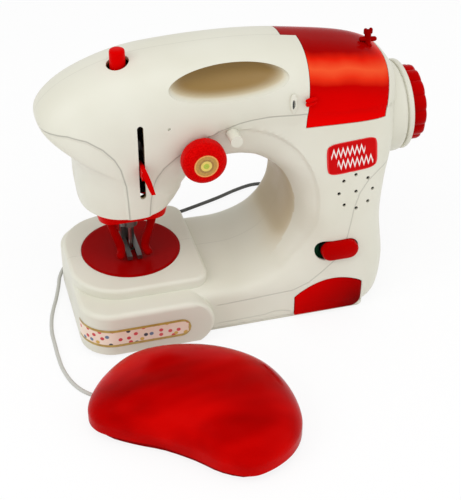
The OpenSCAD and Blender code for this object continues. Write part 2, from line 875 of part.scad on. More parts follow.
clamp_h = 8;
module needle_clamp() {
  color("dimgray")
    translate([nx, 0, bar_low - clamp_h])
      cylinder(r = needle_bar_r + 2, h = clamp_h);
}
needle_r = 0.9;
needle_tip = plateau_h - 4;
needle_tip_l = 4;
module needle() {
  color("silver") {
    translate([nx, 0, needle_tip + needle_tip_l])
      cylinder(r = needle_r, h = bar_low - clamp_h - needle_tip - needle_tip_l);
    translate([nx, 0, needle_tip])
      cylinder(r1 = 0.3, r2 = needle_r, h = needle_tip_l);
  }
}

// The lever is clamped on the needle bar and reaches out through the slot in the head.
lever_t = 2.4;
lever_z = head_z + 20;
lever_ring_h = 6;
lever_out = arm_w + 5;
lever_l = 17;
module take_up_lever() {
  color("firebrick") {
    difference() {
      union() {
        translate([nx, 0, lever_z])
          cylinder(r = needle_bar_r + 2, h = lever_ring_h);
        translate([slot_x + lever_t / 2, 0, 0])
          rotate([0, -90, 0])
            linear_extrude(lever_t)
              polygon([[lever_z, -needle_bar_r], [lever_z + lever_ring_h, -needle_bar_r],
                [lever_z + 16, -arm_w], [lever_z + 16, -lever_out], [lever_z + 9, -lever_out],
                [lever_z + 9, -arm_w]]);
      }
      translate([nx, 0, lever_z - 1])
        cylinder(r = needle_bar_r, h = lever_ring_h + 2);
    }
    translate([slot_x - lever_t / 2, -lever_out - 2, lever_z + 16])
      rotate([0, 164, 0])
        translate([-lever_t, 0, 0])
          cube([1.8 * lever_t, 2, lever_l]);
  }
}

foot_gap = 0.4;
foot_z = plate_seat + needle_plate_t + foot_gap;
foot_t = 2.5;
toe_w = 3;
toe_in = 1.5;
toe_front = 14;
foot_rear = presser_y + 3.5;
ankle_h = 8;
module presser_foot() {
  color("dimgray") {
    for (side = [-1, 1])
      translate([nx + side * (toe_in + toe_w / 2) - toe_w / 2, -toe_front, foot_z])
        cube([toe_w, toe_front + foot_rear, foot_t]);
    translate([nx - toe_in, presser_y - 3.5, foot_z])
      cube([2 * toe_in, 7, foot_t]);
    translate([nx - presser_bar_r - 1.5, presser_y - 3.5, foot_z + foot_t])
      cube([2 * presser_bar_r + 3, 7, ankle_h]);
  }
}
module presser_bar() {
  color("silver")
    translate([nx, presser_y, foot_z + foot_t + ankle_h])
      cylinder(r = presser_bar_r, h = guide_top + 12 - foot_z - foot_t - ankle_h);
}

knob_back = arm_w + 0.8;
knob_cap = 1.5;
module tension_spindle() {
  color("silver")
    rod_y(kx, knob_z, -spindle_back, -knob_back - knob_t + knob_cap + 0.5, spindle_r);
}
module tension_knob() {
  color("firebrick")
    difference() {
      union() {
        rod_y(kx, knob_z, -knob_back, -knob_back - knob_t + 2, knob_r);
        rod_y(kx, knob_z, -knob_back - knob_t + 2, -knob_back - knob_t, knob_r - 2);
      }
      rod_y(kx, knob_z, -knob_back + 1, -knob_back - knob_t + knob_cap, spindle_r + run_fit);
    }
}
post_l = 9;
module thread_post() {
  color("ivory")
    rod_y(post_x, post_z, -post_back - 3, -arm_w - post_l, post_r);
}

button_flange_t = 2;
button_flange_z = arm_top - 15;
module push_button() {
  color("firebrick") {
    translate([button_x, button_y, button_flange_z])
      cylinder(r = button_r + 2.3, h = button_flange_t);
    translate([button_x, button_y, button_flange_z + button_flange_t])
      cylinder(r = button_r, h = button_top - button_flange_z - button_flange_t);
  }
}
module button_spring() {
  color("silver")
    difference() {
      translate([button_x, button_y, button_floor])
        cylinder(r = button_r - 0.5, h = button_flange_z - button_floor);
      translate([button_x, button_y, button_floor - 1])
        cylinder(r = button_r - 1.5, h = button_flange_z - button_floor + 2);
    }
}

tray_t = 2;
tray_z = cover_z;
tray_half = arm_w - 3;
tray_x0 = cover_x0 + 1.5;
spool_x = 52;
spool_y = -4;
spool_pin_r = 3;
spool_r = 10;
spool_core_r = 6.5;
spool_l = 20;
spool_flange_t = 2;
module spool_tray() {
  color("gainsboro") {
    translate([tray_x0, -tray_half, tray_z])
      cube([motor_frame_x - tray_x0, 2 * tray_half, tray_t]);
    translate([tray_x0, -tray_half + 8, tray_z + tray_t])
      cube([tray_t, 2 * tray_half - 16, 8]);
  }
}
module spool_pin() {
  color("gainsboro")
    translate([spool_x, spool_y, tray_z + tray_t])
      cylinder(r = spool_pin_r, h = spool_l + 3);
}
module thread_spool() {
  z0 = tray_z + tray_t + gap;
  color("orange")
    difference() {
      union() {
        translate([spool_x, spool_y, z0])
          cylinder(r = spool_r, h = spool_flange_t);
        translate([spool_x, spool_y, z0 + spool_flange_t])
          cylinder(r = spool_core_r, h = spool_l - 2 * spool_flange_t);
        translate([spool_x, spool_y, z0 + spool_l - spool_flange_t])
          cylinder(r = spool_r, h = spool_flange_t);
      }
      translate([spool_x, spool_y, z0 - 1])
        cylinder(r = spool_pin_r + run_fit, h = spool_l + 2);
    }
}

// The hinge lies on the rear of the body. Its own frame has x along the pin, y up the body's
// surface and z out of it.
hinge_x = 52;
hinge_y = arm_w + 1.25;
hinge_z = arm_top - 23.9;
hinge_roll = 71.3;
hinge_lift = 2.8;
hinge_r = 2.2;
hinge_pin_r = 1;
barrel_half = 12;
ear_l = 5;
module on_hinge() {
  translate([hinge_x, hinge_y, hinge_z])
    rotate([0, hinge_slope, 0])
      rotate([-hinge_roll, 0, 0])
        mirror([0, 1, 0])
          children();
}
module hinge_rod(x0, x1, r) {
  translate([x0, 0, 0])
    rotate([0, 90, 0])
      cylinder(r = r, h = x1 - x0);
}
// A bar with round ends between two points.
module round_bar(p, q, r) {
  hull() {
    translate(p)
      sphere(r = r, $fn = 12);
    translate(q)
      sphere(r = r, $fn = 12);
  }
}
lug_x = cover_x1 - 1.3;
lug_low = arm_top - 14.7;
lug_high = arm_top - 7.5;
tab_z = cover_z + 17.6;
module cover() {
  color("red") {
    intersection() {
      difference() {
        body_form(0);
        body_form(cover_t);
      }
      cover_window(0);
    }
    // The grip lug: a stem, a foot, a cross bar and two prongs.
    round_bar([lug_x, -2, lug_low], [lug_x, -2, lug_high], 2);
    round_bar([lug_x - 4, -2, lug_low + 3.5], [lug_x, -2, lug_low + 3], 1.5);
    round_bar([lug_x, -6, lug_low + 0.8], [lug_x, 2, lug_low + 1.8], 1.3);
    round_bar([lug_x, -2, lug_low + 3], [lug_x + 4.2, -2, lug_low + 2.6], 1.5);
    round_bar([lug_x - 1.6, -2, lug_high], [lug_x - 1.6, -2, lug_high + 1.6], 1.2);
    round_bar([lug_x + 1.6, -2, lug_high], [lug_x + 1.6, -2, lug_high + 1.6], 1.2);
    // The finger tab on the left edge, clear of the shell under it.
    round_bar([cover_x0 + 4, -arm_w - 1.2, tab_z - 1.2], [cover_x0 - 0.6, -arm_w - 2.7, tab_z - 1.2], 1.4);
    round_bar([cover_x0 + 4, -arm_w - 1.2, tab_z + 1.2], [cover_x0 - 0.6, -arm_w - 2.7, tab_z + 1.2], 1.4);
  }
}
module cover_barrel() {
  color("red")
    on_hinge()
      difference() {
        union() {
          hinge_rod(-barrel_half, barrel_half, hinge_r);
          translate([-barrel_half, 0.8, -hinge_lift - 0.8])
            cube([2 * barrel_half, 6.2, 3]);
        }
        hinge_rod(-barrel_half - 1, barrel_half + 1, hinge_pin_r + run_fit);
      }
}
// The ears' feet sink into the rear shell and end at the edge of the cover's window.
module cover_ears() {
  color("ivory")
    difference() {
      on_hinge()
        difference() {
          for (x0 = [-barrel_half - gap - ear_l, barrel_half + gap]) {
            hinge_rod(x0, x0 + ear_l, hinge_r);
            translate([x0, -5, -hinge_lift - 1.2])
              cube([ear_l, 4.1, hinge_lift + 1.2]);
          }
          hinge_rod(-barrel_half - 20, barrel_half + 20, hinge_pin_r);
        }
      cover_window(gap);
    }
}
module cover_pin() {
  color("silver")
    on_hinge()
      hinge_rod(-barrel_half - gap - ear_l, barrel_half + gap + ear_l, hinge_pin_r);
}

module circuit_board() {
  color("seagreen")
    translate([board_x0, -board_y - board_t, board_z0])
      cube([board_x1 - board_x0, board_t, board_z1 - board_z0]);
}
module speaker() {
  front = speaker_back + 2.7;
  color("dimgray") {
    rod_y(speaker_x, speaker_z, -front, -front + 4, speaker_r);
    rod_y(speaker_x, speaker_z, -front + 4, -front + 9, speaker_r / 2);
  }
}
switch_depth = 7;
switch_body_l = 20;
switch_body_x = switch_x - 8;
stem_l = 4;
stem_h = 4;
slider_x = switch_x + (switch_window_l - slider_l) / 2 - 0.7;
module switch_body() {
  color("dimgray")
    difference() {
      translate([switch_body_x, -board_y - board_t - switch_depth, switch_z - 6])
        cube([switch_body_l, switch_depth, 12]);
      translate([switch_body_x + 2, -board_y - board_t - switch_depth - 1, switch_z - stem_h / 2 - gap])
        cube([switch_body_l - 4, 5, stem_h + 2 * gap]);
    }
}
module switch_slider() {
  color("firebrick") {
    stadium_y(slider_x, switch_z, slider_l, slider_h, -base_w + wall + 1, -base_w - 1.8);
    translate([slider_x - stem_l / 2, -base_w + wall + 1, switch_z - stem_h / 2])
      cube([stem_l, base_w - wall - 1 - board_y - board_t - switch_depth + 3, stem_h]);
  }
}

module drawer_front() {
  color("red")
    drawer_prism(-base_w, wall - base_w, 0);
}
tray_wall = 1.6;
tray_low = plate_t + gap;
tray_high = drawer_side_h - 2;
module drawer_tray() {
  x0 = drawer_x0 + 2;
  w = drawer_w - 4;
  color("ivory")
    difference() {
      translate([x0, wall - base_w, tray_low])
        cube([w, drawer_l, tray_high - tray_low]);
      translate([x0 + tray_wall, wall - base_w + tray_wall, tray_low + tray_wall])
        cube([w - 2 * tray_wall, drawer_l - 2 * tray_wall, tray_high]);
    }
}

gland_y = rear_w + 8;
module machine_gland() {
  color("gainsboro")
    translate([gland_x, rear_w - 4, gland_z])
      rotate([-90, 0, 0]) {
        cylinder(r = gland_r, h = 6);
        translate([0, 0, 6])
          cylinder(r1 = gland_r, r2 = cord_d / 2 + 0.5, h = gland_y - rear_w - 2);
      }
}

// Route of the pedal cord: out of the column, down to the table, round the bed to the pedal.
cord_r = cord_d / 2;
cord_floor = 1.3;
cord_route = [
  [64, gland_y, 6.5], [64, gland_y + 6, 6.3], [64.4, 61, 5], [65, 72, 2.8], [64.5, 84, 1.5],
  [61, 95, cord_floor], [54, 102, cord_floor], [44, 103.5, cord_floor], [31, 99.5, cord_floor],
  [17, 93.5, cord_floor], [3, 88.5, cord_floor], [-12, 83.5, cord_floor], [-28, 79, cord_floor],
  [-45, 74, cord_floor], [-62, 68, cord_floor], [-77, 61, cord_floor], [-90, 52, cord_floor],
  [-100, 42, cord_floor], [-105.6, 31.5, cord_floor], [-108.6, 19.8, cord_floor],
  [-112, 8, cord_floor], [-115.5, -2.5, cord_floor], [-118, -12, cord_floor],
  [-119.7, -23.8, cord_floor], [-120.1, -36, cord_floor], [-119.8, -48.3, cord_floor],
  [-119, -60, cord_floor], [-116.5, -71, cord_floor], [-113, -79, cord_floor],
  [-108.5, -85, cord_floor], [-104, -88.5, cord_floor], [-98.5, -91.7, cord_floor]
];
cord_sides = 8;
cord_points = open_spline(cord_route, 2);
// Rings stand square to the route, with one side level.
function cord_ring(i) = let (
  n = len(cord_points) - 1,
  d = cord_points[min(i + 1, n)] - cord_points[max(i - 1, 0)],
  t = d / norm(d),
  side = cross(t, [0, 0, 1]) / norm(cross(t, [0, 0, 1])),
  up = cross(side, t)
) [for (k = [0:cord_sides - 1])
    let (a = 360 * (k + 0.5) / cord_sides)
    cord_points[i] + cord_r * (cos(a) * side + sin(a) * up)];
module pedal_cord() {
  n = len(cord_points);
  m = cord_sides;
  points = [for (i = [0:n - 1]) each cord_ring(i)];
  sides = [for (i = [0:n - 2], k = [0:m - 1], half = [0, 1])
    let (a = i * m + k, b = i * m + (k + 1) % m)
    half == 0 ? [a, b, a + m] : [b, b + m, a + m]];
  first = [for (k = [1:m - 2]) [0, k + 1, k]];
  last = [for (k = [1:m - 2]) [(n - 1) * m, (n - 1) * m + k, (n - 1) * m + k + 1]];
  color("gainsboro")
    polyhedron(points, concat(sides, first, last));
}

// The pedal: its own frame has p along its length and q across.
pedal_at = [-54, -120];
pedal_turn = -27;
module in_pedal() {
  translate([pedal_at[0], pedal_at[1], 0])
    rotate([0, 0, pedal_turn])
      children();
}
pedal_spots = [[-58, -14], [-56.5, 8], [-46, 29], [-26, 40], [3, 44], [31, 38], [50, 22],
  [61.5, -2], [59, -24], [44, -42], [26, -43], [8, -36.5], [-12, -31.5], [-32, -30], [-50, -26]];
pedal_outline = closed_spline(pedal_spots, 3);
pedal_crown = [8, 0];
dome_levels = 8;
// The skirt stands straight, then the dome closes over a quarter of a rounded curve.
skirt_h = 7;
function dome_scale(k) = k == 0 ? 1 : pow(cos(90 * (k - 1) / (dome_levels - 1)), 0.75);
function dome_rise(k) = k == 0 ? 0 : skirt_h / pedal_h
  + (1 - skirt_h / pedal_h) * pow(sin(90 * (k - 1) / (dome_levels - 1)), 1.1);
function dome_fall(p) = 0.9 + 0.1 * cos(1.5 * (p - pedal_crown[0]));
function dome_ring(k, inset) = [
  for (q = pedal_outline)
    let (
      s = dome_scale(k) * (1 - inset / 44),
      x = pedal_crown[0] + s * (q[0] - pedal_crown[0]),
      y = pedal_crown[1] + s * (q[1] - pedal_crown[1])
    )
    [x, y, pedal_rim + (pedal_h - pedal_rim - inset) * dome_rise(k) * dome_fall(x)]
];
function dome_apex(inset) = [pedal_crown[0], pedal_crown[1], pedal_h - inset];
module pedal_top() {
  m = len(pedal_outline);
  n = dome_levels;
  outer = [for (k = [0:n - 1]) each dome_ring(k, 0)];
  inner = [for (k = [0:n - 1]) each dome_ring(k, pedal_t)];
  off = n * m;
  apex = 2 * off;
  points = concat(outer, inner, [dome_apex(0), dome_apex(pedal_t)]);
  function wall_faces(base, flip) = [for (i = [0:n - 2], k = [0:m - 1], half = [0, 1])
    let (
      a = base + i * m + k,
      b = base + i * m + (k + 1) % m,
      f = half == 0 ? [a, a + m, b] : [b, a + m, b + m]
    )
    flip ? [f[0], f[2], f[1]] : f];
  function cap_faces(base, tip, flip) = [for (k = [0:m - 1])
    let (a = base + (n - 1) * m + k, b = base + (n - 1) * m + (k + 1) % m)
    flip ? [a, b, tip] : [a, tip, b]];
  rim = [for (k = [0:m - 1], half = [0, 1])
    let (a = k, b = (k + 1) % m)
    half == 0 ? [a, b, off + a] : [b, off + b, off + a]];
  color("red")
    in_pedal()
      polyhedron(points, concat(wall_faces(0, false), cap_faces(0, apex, false),
        wall_faces(off, true), cap_faces(off, apex + 1, true), rim));
}

gland_p = -52.5;
gland_q = 5;
gland_l = 4;
gland_w = 4.4;
gland_h = 2.9;
pedal_base_t = 2.5;
pedal_base_h = 8;
pedal_clear = pedal_t + 2;
pedal_pin_p = 40;
pedal_pin_z = 11;
pedal_pin_r = 1.5;
pedal_ear = 4;
pedal_lug_half = 8;
pedal_switch_p = -20;
pedal_switch_h = 12;
pedal_post_z = pedal_base_t + pedal_switch_h + 3;
function base_outline(inset) = [for (q = pedal_outline)
  pedal_crown + (q - pedal_crown) * (1 - inset / 44)];
module pedal_base() {
  color("firebrick")
    in_pedal() {
      difference() {
        linear_extrude(pedal_base_h)
          polygon(base_outline(pedal_clear));
        translate([0, 0, pedal_base_t])
          linear_extrude(pedal_base_h)
            polygon(base_outline(pedal_clear + 2.5));
        translate([-70, gland_q - gland_w / 2 - seat_fit, -1])
          cube([gland_p + gland_l + 70 + seat_fit, gland_w + 2 * seat_fit, gland_h + 1 + seat_fit]);
      }
      for (y = [-pedal_lug_half - gap - pedal_ear, pedal_lug_half + gap])
        difference() {
          translate([pedal_pin_p - 4, y, pedal_base_t])
            cube([8, pedal_ear, pedal_pin_z + 3 - pedal_base_t]);
          translate([pedal_pin_p, y - 1, pedal_pin_z])
            rotate([-90, 0, 0])
              cylinder(r = pedal_pin_r, h = pedal_ear + 2);
        }
    }
}
module pedal_pin() {
  half = pedal_lug_half + gap + pedal_ear;
  color("silver")
    in_pedal()
      translate([pedal_pin_p, -half, pedal_pin_z])
        rotate([-90, 0, 0])
          cylinder(r = pedal_pin_r, h = 2 * half);
}
lug_top = pedal_h - 7;
post_top = pedal_h - 3.6;
module pedal_lugs() {
  color("red")
    in_pedal() {
      difference() {
        translate([pedal_pin_p - 3.5, -pedal_lug_half, pedal_pin_z - 3.5])
          cube([7, 2 * pedal_lug_half, lug_top - pedal_pin_z + 3.5]);
        translate([pedal_pin_p, -pedal_lug_half - 1, pedal_pin_z])
          rotate([-90, 0, 0])
            cylinder(r = pedal_pin_r + run_fit, h = 2 * pedal_lug_half + 2);
      }
      translate([pedal_switch_p, 0, pedal_post_z])
        cylinder(r = 5, h = post_top - pedal_post_z);
    }
}
module pedal_switch() {
  color("dimgray")
    in_pedal()
      translate([pedal_switch_p - 7, -6, pedal_base_t])
        cube([14, 12, pedal_switch_h]);
}
module pedal_spring() {
  color("silver")
    in_pedal()
      difference() {
        translate([pedal_switch_p, 0, pedal_base_t + pedal_switch_h])
          cylinder(r = 4, h = pedal_post_z - pedal_base_t - pedal_switch_h);
        translate([pedal_switch_p, 0, pedal_base_t + pedal_switch_h - 1])
          cylinder(r = 3, h = 5);
      }
}
module pedal_gland() {
  color("gainsboro")
    in_pedal()
      translate([gland_p, gland_q - gland_w / 2, 0.1])
        cube([gland_l, gland_w, gland_h - 0.1]);
}

front_shell();
rear_shell();
base_plate();
battery_door();
batteries();
battery_contacts();
case_screws();
needle_plate();
collar();
needle_guard();
head_frame();
left_bush();
wheel_flange();
right_bush();
motor_frame();
motor();
motor_shaft();
motor_pinion();
drive_gear();
main_shaft();
hand_wheel();
crank_disc();
needle_bar();
needle_clamp();
needle();
take_up_lever();
presser_bar();
presser_foot();
tension_spindle();
tension_knob();
thread_post();
push_button();
button_spring();
spool_tray();
spool_pin();
thread_spool();
cover();
cover_barrel();
cover_ears();
cover_pin();
circuit_board();
speaker();
switch_body();
switch_slider();
drawer_front();
drawer_tray();
machine_gland();
pedal_cord();
pedal_gland();
pedal_base();
pedal_pin();
pedal_lugs();
pedal_switch();
pedal_spring();
pedal_top();
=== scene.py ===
"""Looks of a toy sewing machine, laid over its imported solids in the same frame.

Shapes are worked out in millimetres as numpy arrays and put into meshes in metres.
+Z is up, +X points to the hand wheel and -Y to the user.
"""
import math
import bpy
import numpy as np
from mathutils import Matrix


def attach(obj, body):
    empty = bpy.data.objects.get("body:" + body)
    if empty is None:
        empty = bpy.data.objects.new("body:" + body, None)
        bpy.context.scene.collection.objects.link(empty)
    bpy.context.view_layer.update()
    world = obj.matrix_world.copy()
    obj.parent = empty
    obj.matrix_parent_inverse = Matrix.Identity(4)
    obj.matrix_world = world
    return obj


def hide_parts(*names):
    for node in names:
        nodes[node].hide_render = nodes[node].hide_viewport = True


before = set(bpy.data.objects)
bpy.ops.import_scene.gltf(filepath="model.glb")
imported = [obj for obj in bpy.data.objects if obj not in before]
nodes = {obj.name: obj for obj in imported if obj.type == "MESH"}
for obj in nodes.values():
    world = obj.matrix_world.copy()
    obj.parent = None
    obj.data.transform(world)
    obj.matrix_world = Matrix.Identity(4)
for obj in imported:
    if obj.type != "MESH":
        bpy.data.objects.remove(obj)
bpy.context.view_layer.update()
MM = 0.001

# Main sizes of the machine, in millimetres
BASE_H = 32.0
OPENING_R = 38.0
OPENING_X = 31.5
NEEDLE_X = -64.0
HEAD_R = 31.0
HEAD_Z = 81.0
COLUMN_X = 88.0
ARM_TOP = 173.0
NOSE_X = 114.0
WHEEL_Z = 114.0
BASE_HALF = 50.0
REAR_HALF = 38.0
ARM_HALF = 34.0
WALL = 2.2
PLATE_T = 2.5
GAP = 0.4
PLATE_R, PLATE_Z = 30.5, 36.5
LEVER_X = NEEDLE_X + 3.0
KNOB_X, KNOB_Y, KNOB_Z = -27.0, -34.8, 119.0
KNOB_R, KNOB_H = 13.0, 12.7
POST_X, POST_Z = -8.0, 129.0
SWITCH_Z = 47.0
SPOOL_X, SPOOL_Y = 52.0, -4.0
# Further out than any part of the machine
FAR = 300.0


def placed(name, data):
    """New object in the scene that holds some data."""
    piece = bpy.data.objects.new(name, data)
    bpy.context.scene.collection.objects.link(piece)
    return piece


# Camera

def place_camera():
    """Camera on a sphere round the target: the photograph's azimuth, elevation, distance and lens."""
    azimuth, elevation = math.radians(-15.5), math.radians(35.6)
    target, distance = np.array([0.1, 0.0, 23.5]), 826.0
    back = np.array([math.sin(azimuth) * math.cos(elevation),
                     -math.cos(azimuth) * math.cos(elevation), math.sin(elevation)])
    right = np.array([math.cos(azimuth), math.sin(azimuth), 0.0])
    data = bpy.data.cameras.new("photo_camera")
    data.sensor_width = 36.0
    data.lens = 93.6
    data.clip_start = 0.01
    camera = placed("photo_camera", data)
    place = np.eye(4)
    place[:3, :3] = np.stack([right, np.cross(back, right), back], axis=1)
    place[:3, 3] = (target + distance * back) * MM
    camera.matrix_world = Matrix(place.tolist())
    bpy.context.scene.camera = camera


place_camera()


# Curves and grids

def catmull_rom(p0, p1, p2, p3, t):
    """Cubic from p1 to p2 whose slopes at its ends are half of p2 - p0 and of p3 - p1."""
    return 0.5 * (2 * p1 + (p2 - p0) * t + (2 * p0 - 5 * p1 + 4 * p2 - p3) * t ** 2
                  + (3 * p1 - p0 - 3 * p2 + p3) * t ** 3)


def spline_at(points, s):
    """Open Catmull-Rom curve through the rows of points, at fractional row numbers s."""
    last = len(points) - 1
    i = np.clip(np.floor(s).astype(int), 0, last - 1)
    before, after = points[np.maximum(i - 1, 0)], points[np.minimum(i + 2, last)]
    return catmull_rom(before, points[i], points[i + 1], after, (s - i)[:, None])


def closed_spline_at(points, s):
    """Closed Catmull-Rom curve through the rows of points, at fractional row numbers s."""
    i = np.floor(s).astype(int)
    corners = [points[(i + k) % len(points)] for k in (-1, 0, 1, 2)]
    return catmull_rom(*corners, (s - i)[:, None])


def smoothstep(lo, hi, x):
    """Smooth rise from 0 at lo to 1 at hi."""
    t = np.clip((x - lo) / (hi - lo), 0, 1)
    return t * t * (3 - 2 * t)


def line_distance(line, x, z):
    """Signed distance of the points (x, z) from a polyline, positive on its left."""
    a, b = line[:-1], line[1:]
    d = b - a
    px, pz = x[..., None] - a[:, 0], z[..., None] - a[:, 1]
    t = np.clip((px * d[:, 0] + pz * d[:, 1]) / (d ** 2).sum(1), 0, 1)
    ex, ez = px - t * d[:, 0], pz - t * d[:, 1]
    far = np.hypot(ex, ez)
    k = far.argmin(-1)[..., None]
    side = np.sign(np.take_along_axis(d[:, 0] * pz - d[:, 1] * px, k, -1))[..., 0]
    return side * np.take_along_axis(far, k, -1)[..., 0]


def grid_faces(nu, nv, wrap_u, wrap_v):
    """Quads between neighbouring rows and columns of a grid, closed where it wraps."""
    u = np.arange(nu if wrap_u else nu - 1)
    v = np.arange(nv if wrap_v else nv - 1)
    i, j = np.meshgrid(u, v, indexing="ij")
    i2, j2 = (i + 1) % nu, (j + 1) % nv
    quad = np.stack([i * nv + j, i * nv + j2, i2 * nv + j2, i2 * nv + j], -1)
    return quad.reshape(-1, 4)


def outward(points, quads, caps):
    """True if the closed surface's signed volume is positive."""
    def six_volumes(a, b, c):
        """Six times the summed volume of the tetrahedra from the origin to each triangle."""
        return np.einsum("ij,ij->i", a, np.cross(b, c)).sum()
    p = points
    total = six_volumes(p[quads[:, 0]], p[quads[:, 1]], p[quads[:, 2]])
    total += six_volumes(p[quads[:, 0]], p[quads[:, 2]], p[quads[:, 3]])
    for cap in caps:
        ring = p[cap]
        first = np.broadcast_to(ring[0], (len(ring) - 2, 3))
        total += six_volumes(first, ring[1:-1], ring[2:])
    return total > 0


def solid(name, grid, wrap_u=False):
    """Closed mesh from rings: grid[u, v] wraps in v; its end rings are capped, or joined where u wraps."""
    nu, nv = grid.shape[:2]
    points = grid.reshape(-1, 3)
    quads = grid_faces(nu, nv, wrap_u, True)
    ends = [] if wrap_u else [np.arange(nv)[::-1], (nu - 1) * nv + np.arange(nv)]
    if not outward(points, quads, ends):
        quads = quads[:, ::-1]
        ends = [e[::-1] for e in ends]
    mesh = bpy.data.meshes.new(name)
    mesh.from_pydata((points * MM).tolist(), [], quads.tolist() + [e.tolist() for e in ends])
    mesh.update()
    return placed(name, mesh)


def patch(name, grid, uv=None):
    """Open sheet from a grid of points, facing the side where u cross v points, with a UV map."""
    nu, nv = grid.shape[:2]
    quads = grid_faces(nu, nv, False, False)
    mesh = bpy.data.meshes.new(name)
    mesh.from_pydata((grid.reshape(-1, 3) * MM).tolist(), [], quads.tolist())
    if uv is not None:
        layer = mesh.uv_layers.new(name="surface")
        layer.data.foreach_set("uv", uv.reshape(-1, 2)[quads.ravel()].ravel().astype(np.float32))
    mesh.shade_smooth()
    mesh.update()
    return placed(name, mesh)


# Turns that lay Z, the axis of a profile, along another axis
AXIS_TURNS = {"z": np.eye(3), "x": np.array([[0, 0, 1], [1, 0, 0], [0, 1, 0.0]]),
              "-y": np.array([[1, 0, 0], [0, 0, -1], [0, 1, 0.0]])}


def turned(name, profile, origin, axis, sides=96, lobes=None, ring=False):
    """Surface of revolution: profile rows (radius, height) turned about an axis, with the profile's ends
    capped, or joined for a ring; lobes(radius, angle) is added to the radius."""
    radius, height = np.asarray(profile, float).T[:, :, None]
    a = np.linspace(0, 2 * np.pi, sides, endpoint=False)
    r = radius + (np.zeros(sides) if lobes is None else lobes(radius, a))
    local = np.stack([r * np.cos(a), r * np.sin(a), np.broadcast_to(height, r.shape)], -1)
    return solid(name, local @ AXIS_TURNS[axis].T + np.asarray(origin, float), wrap_u=ring)


def stacked(rings, heights):
    """Plan outlines, each set at its height, as a grid of points."""
    return np.stack([np.column_stack([ring, np.full(len(ring), z)]) for ring, z in zip(rings, heights)])


def layered(name, *layers):
    """Closed form through layers along Y, each an outline in x and z with its own y."""
    return solid(name, np.stack([np.column_stack([ring[:, 0], np.full(len(ring), y), ring[:, 1]])
                                 for ring, y in layers]))


def box(name, low, high):
    """Plain block between two corners, as four corners swept from the bottom to the top."""
    (x0, y0, z0), (x1, y1, z1) = low, high
    ring = np.array([[x0, y0], [x1, y0], [x1, y1], [x0, y1]])
    return solid(name, stacked([ring, ring], (z0, z1)))


def slot_ring(ends, radius, sides=24):
    """Slot outline in x and z: half circles of a radius about two points."""
    (xa, za), (xb, zb) = ends
    a = np.linspace(-np.pi / 2, np.pi / 2, sides) + math.atan2(zb - za, xb - xa)
    arc = radius * np.column_stack([np.cos(a), np.sin(a)])
    return np.concatenate([[xb, zb] + arc, [xa, za] - arc])


def rod_y(name, x, z, y0, y1, r, sides=32):
    """Cylinder along Y."""
    a = np.linspace(0, 2 * np.pi, sides, endpoint=False)
    ring = np.column_stack([x + r * np.cos(a), z + r * np.sin(a)])
    return layered(name, (ring, y0), (ring, y1))


def rod_z(name, x, y, z0, z1, r, sides=64):
    """Cylinder along Z."""
    return turned(name, [(r, z0), (r, z1)], (x, y, 0), "z", sides)


def tube(name, path, radius, sides=16, steps=10):
    """Round bar along a spline: circles square to the path, the ends drawn in to a dome."""
    path = np.asarray(path, float)
    s = np.linspace(0, len(path) - 1, (len(path) - 1) * steps + 1)
    c = spline_at(path, s)
    t = np.gradient(c, axis=0)
    t /= np.linalg.norm(t, axis=1)[:, None]
    never_along = np.array([0.31, 0.17, 0.93])
    side = np.cross(t, never_along)
    side /= np.linalg.norm(side, axis=1)[:, None]
    up = np.cross(side, t)
    a = np.linspace(0, 2 * np.pi, sides, endpoint=False)
    dome = np.radians([8, 35, 62])
    rows = np.concatenate([np.full(3, 0), np.arange(len(s)), np.full(3, len(s) - 1)])
    shift = np.concatenate([-np.cos(dome), np.zeros(len(s)), np.cos(dome[::-1])]) * radius
    rad = np.concatenate([np.sin(dome), np.ones(len(s)), np.sin(dome[::-1])]) * radius
    centre = c[rows] + shift[:, None] * t[rows]
    spokes = np.cos(a)[None, :, None] * side[rows][:, None] + np.sin(a)[None, :, None] * up[rows][:, None]
    return solid(name, centre[:, None] + rad[:, None, None] * spokes)


def combine(piece, operation, *others):
    """Adds, cuts or intersects closed meshes with the manifold solver and keeps the result as a mesh."""
    for other in others:
        step = piece.modifiers.new("combine", "BOOLEAN")
        step.solver = "MANIFOLD"
        step.operation = operation
        step.object = other
    view = bpy.context.evaluated_depsgraph_get()
    view.update()
    mesh = bpy.data.meshes.new_from_object(piece.evaluated_get(view))
    piece.modifiers.clear()
    old, piece.data = piece.data, mesh
    bpy.data.meshes.remove(old)
    mesh.name = piece.name
    for other in others:
        worn = other.data
        bpy.data.objects.remove(other)
        bpy.data.meshes.remove(worn)
    return piece


def smooth(piece, angle=32):
    """Smooth shading, with edges sharper than the angle kept sharp."""
    piece.data.shade_smooth()
    piece.data.set_sharp_from_angle(angle=math.radians(angle))
    return piece


def dress(piece, body, material, *replaced, slot=None):
    """Gives a piece its finish, the body it moves with and the solids it stands for."""
    piece.data.materials.clear()
    piece.data.materials.append(material)
    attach(piece, body)
    if replaced:
        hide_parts(*replaced)
    return piece


# Lines on the body

# Edges of the raised skin on the head and arm, in x and z, set back on their left
SKIN_EDGES = [
    np.array([[-69.2, 60], [-69.4, 83.5], [-69.7, 92.6], [-70.4, 104], [-73.1, 115.8], [-76.5, 123],
              [-82.6, 130], [-90.7, 135.3], [-100.5, 137.8], [-108.4, 137.6], [-130, 136.0]]),
    np.array([[60, 134], [34.2, 135.8], [14, 137], [2, 136], [-8.6, 133.8], [-15.7, 131.6], [-30, 124.5],
              [-40.4, 118.2], [-48.1, 112.1], [-52.5, 105.6], [-54.5, 99.6], [-56.3, 92.5], [-57.3, 81.4],
              [-57.5, 60.0]]),
]
SKIN_STEP = 0.9
# The soft outer edge of the rounded rim at the front of the work opening
RIM_AT, RIM_R, RIM_STEP = np.array([-9.0, 79.0]), 52.0, 1.3
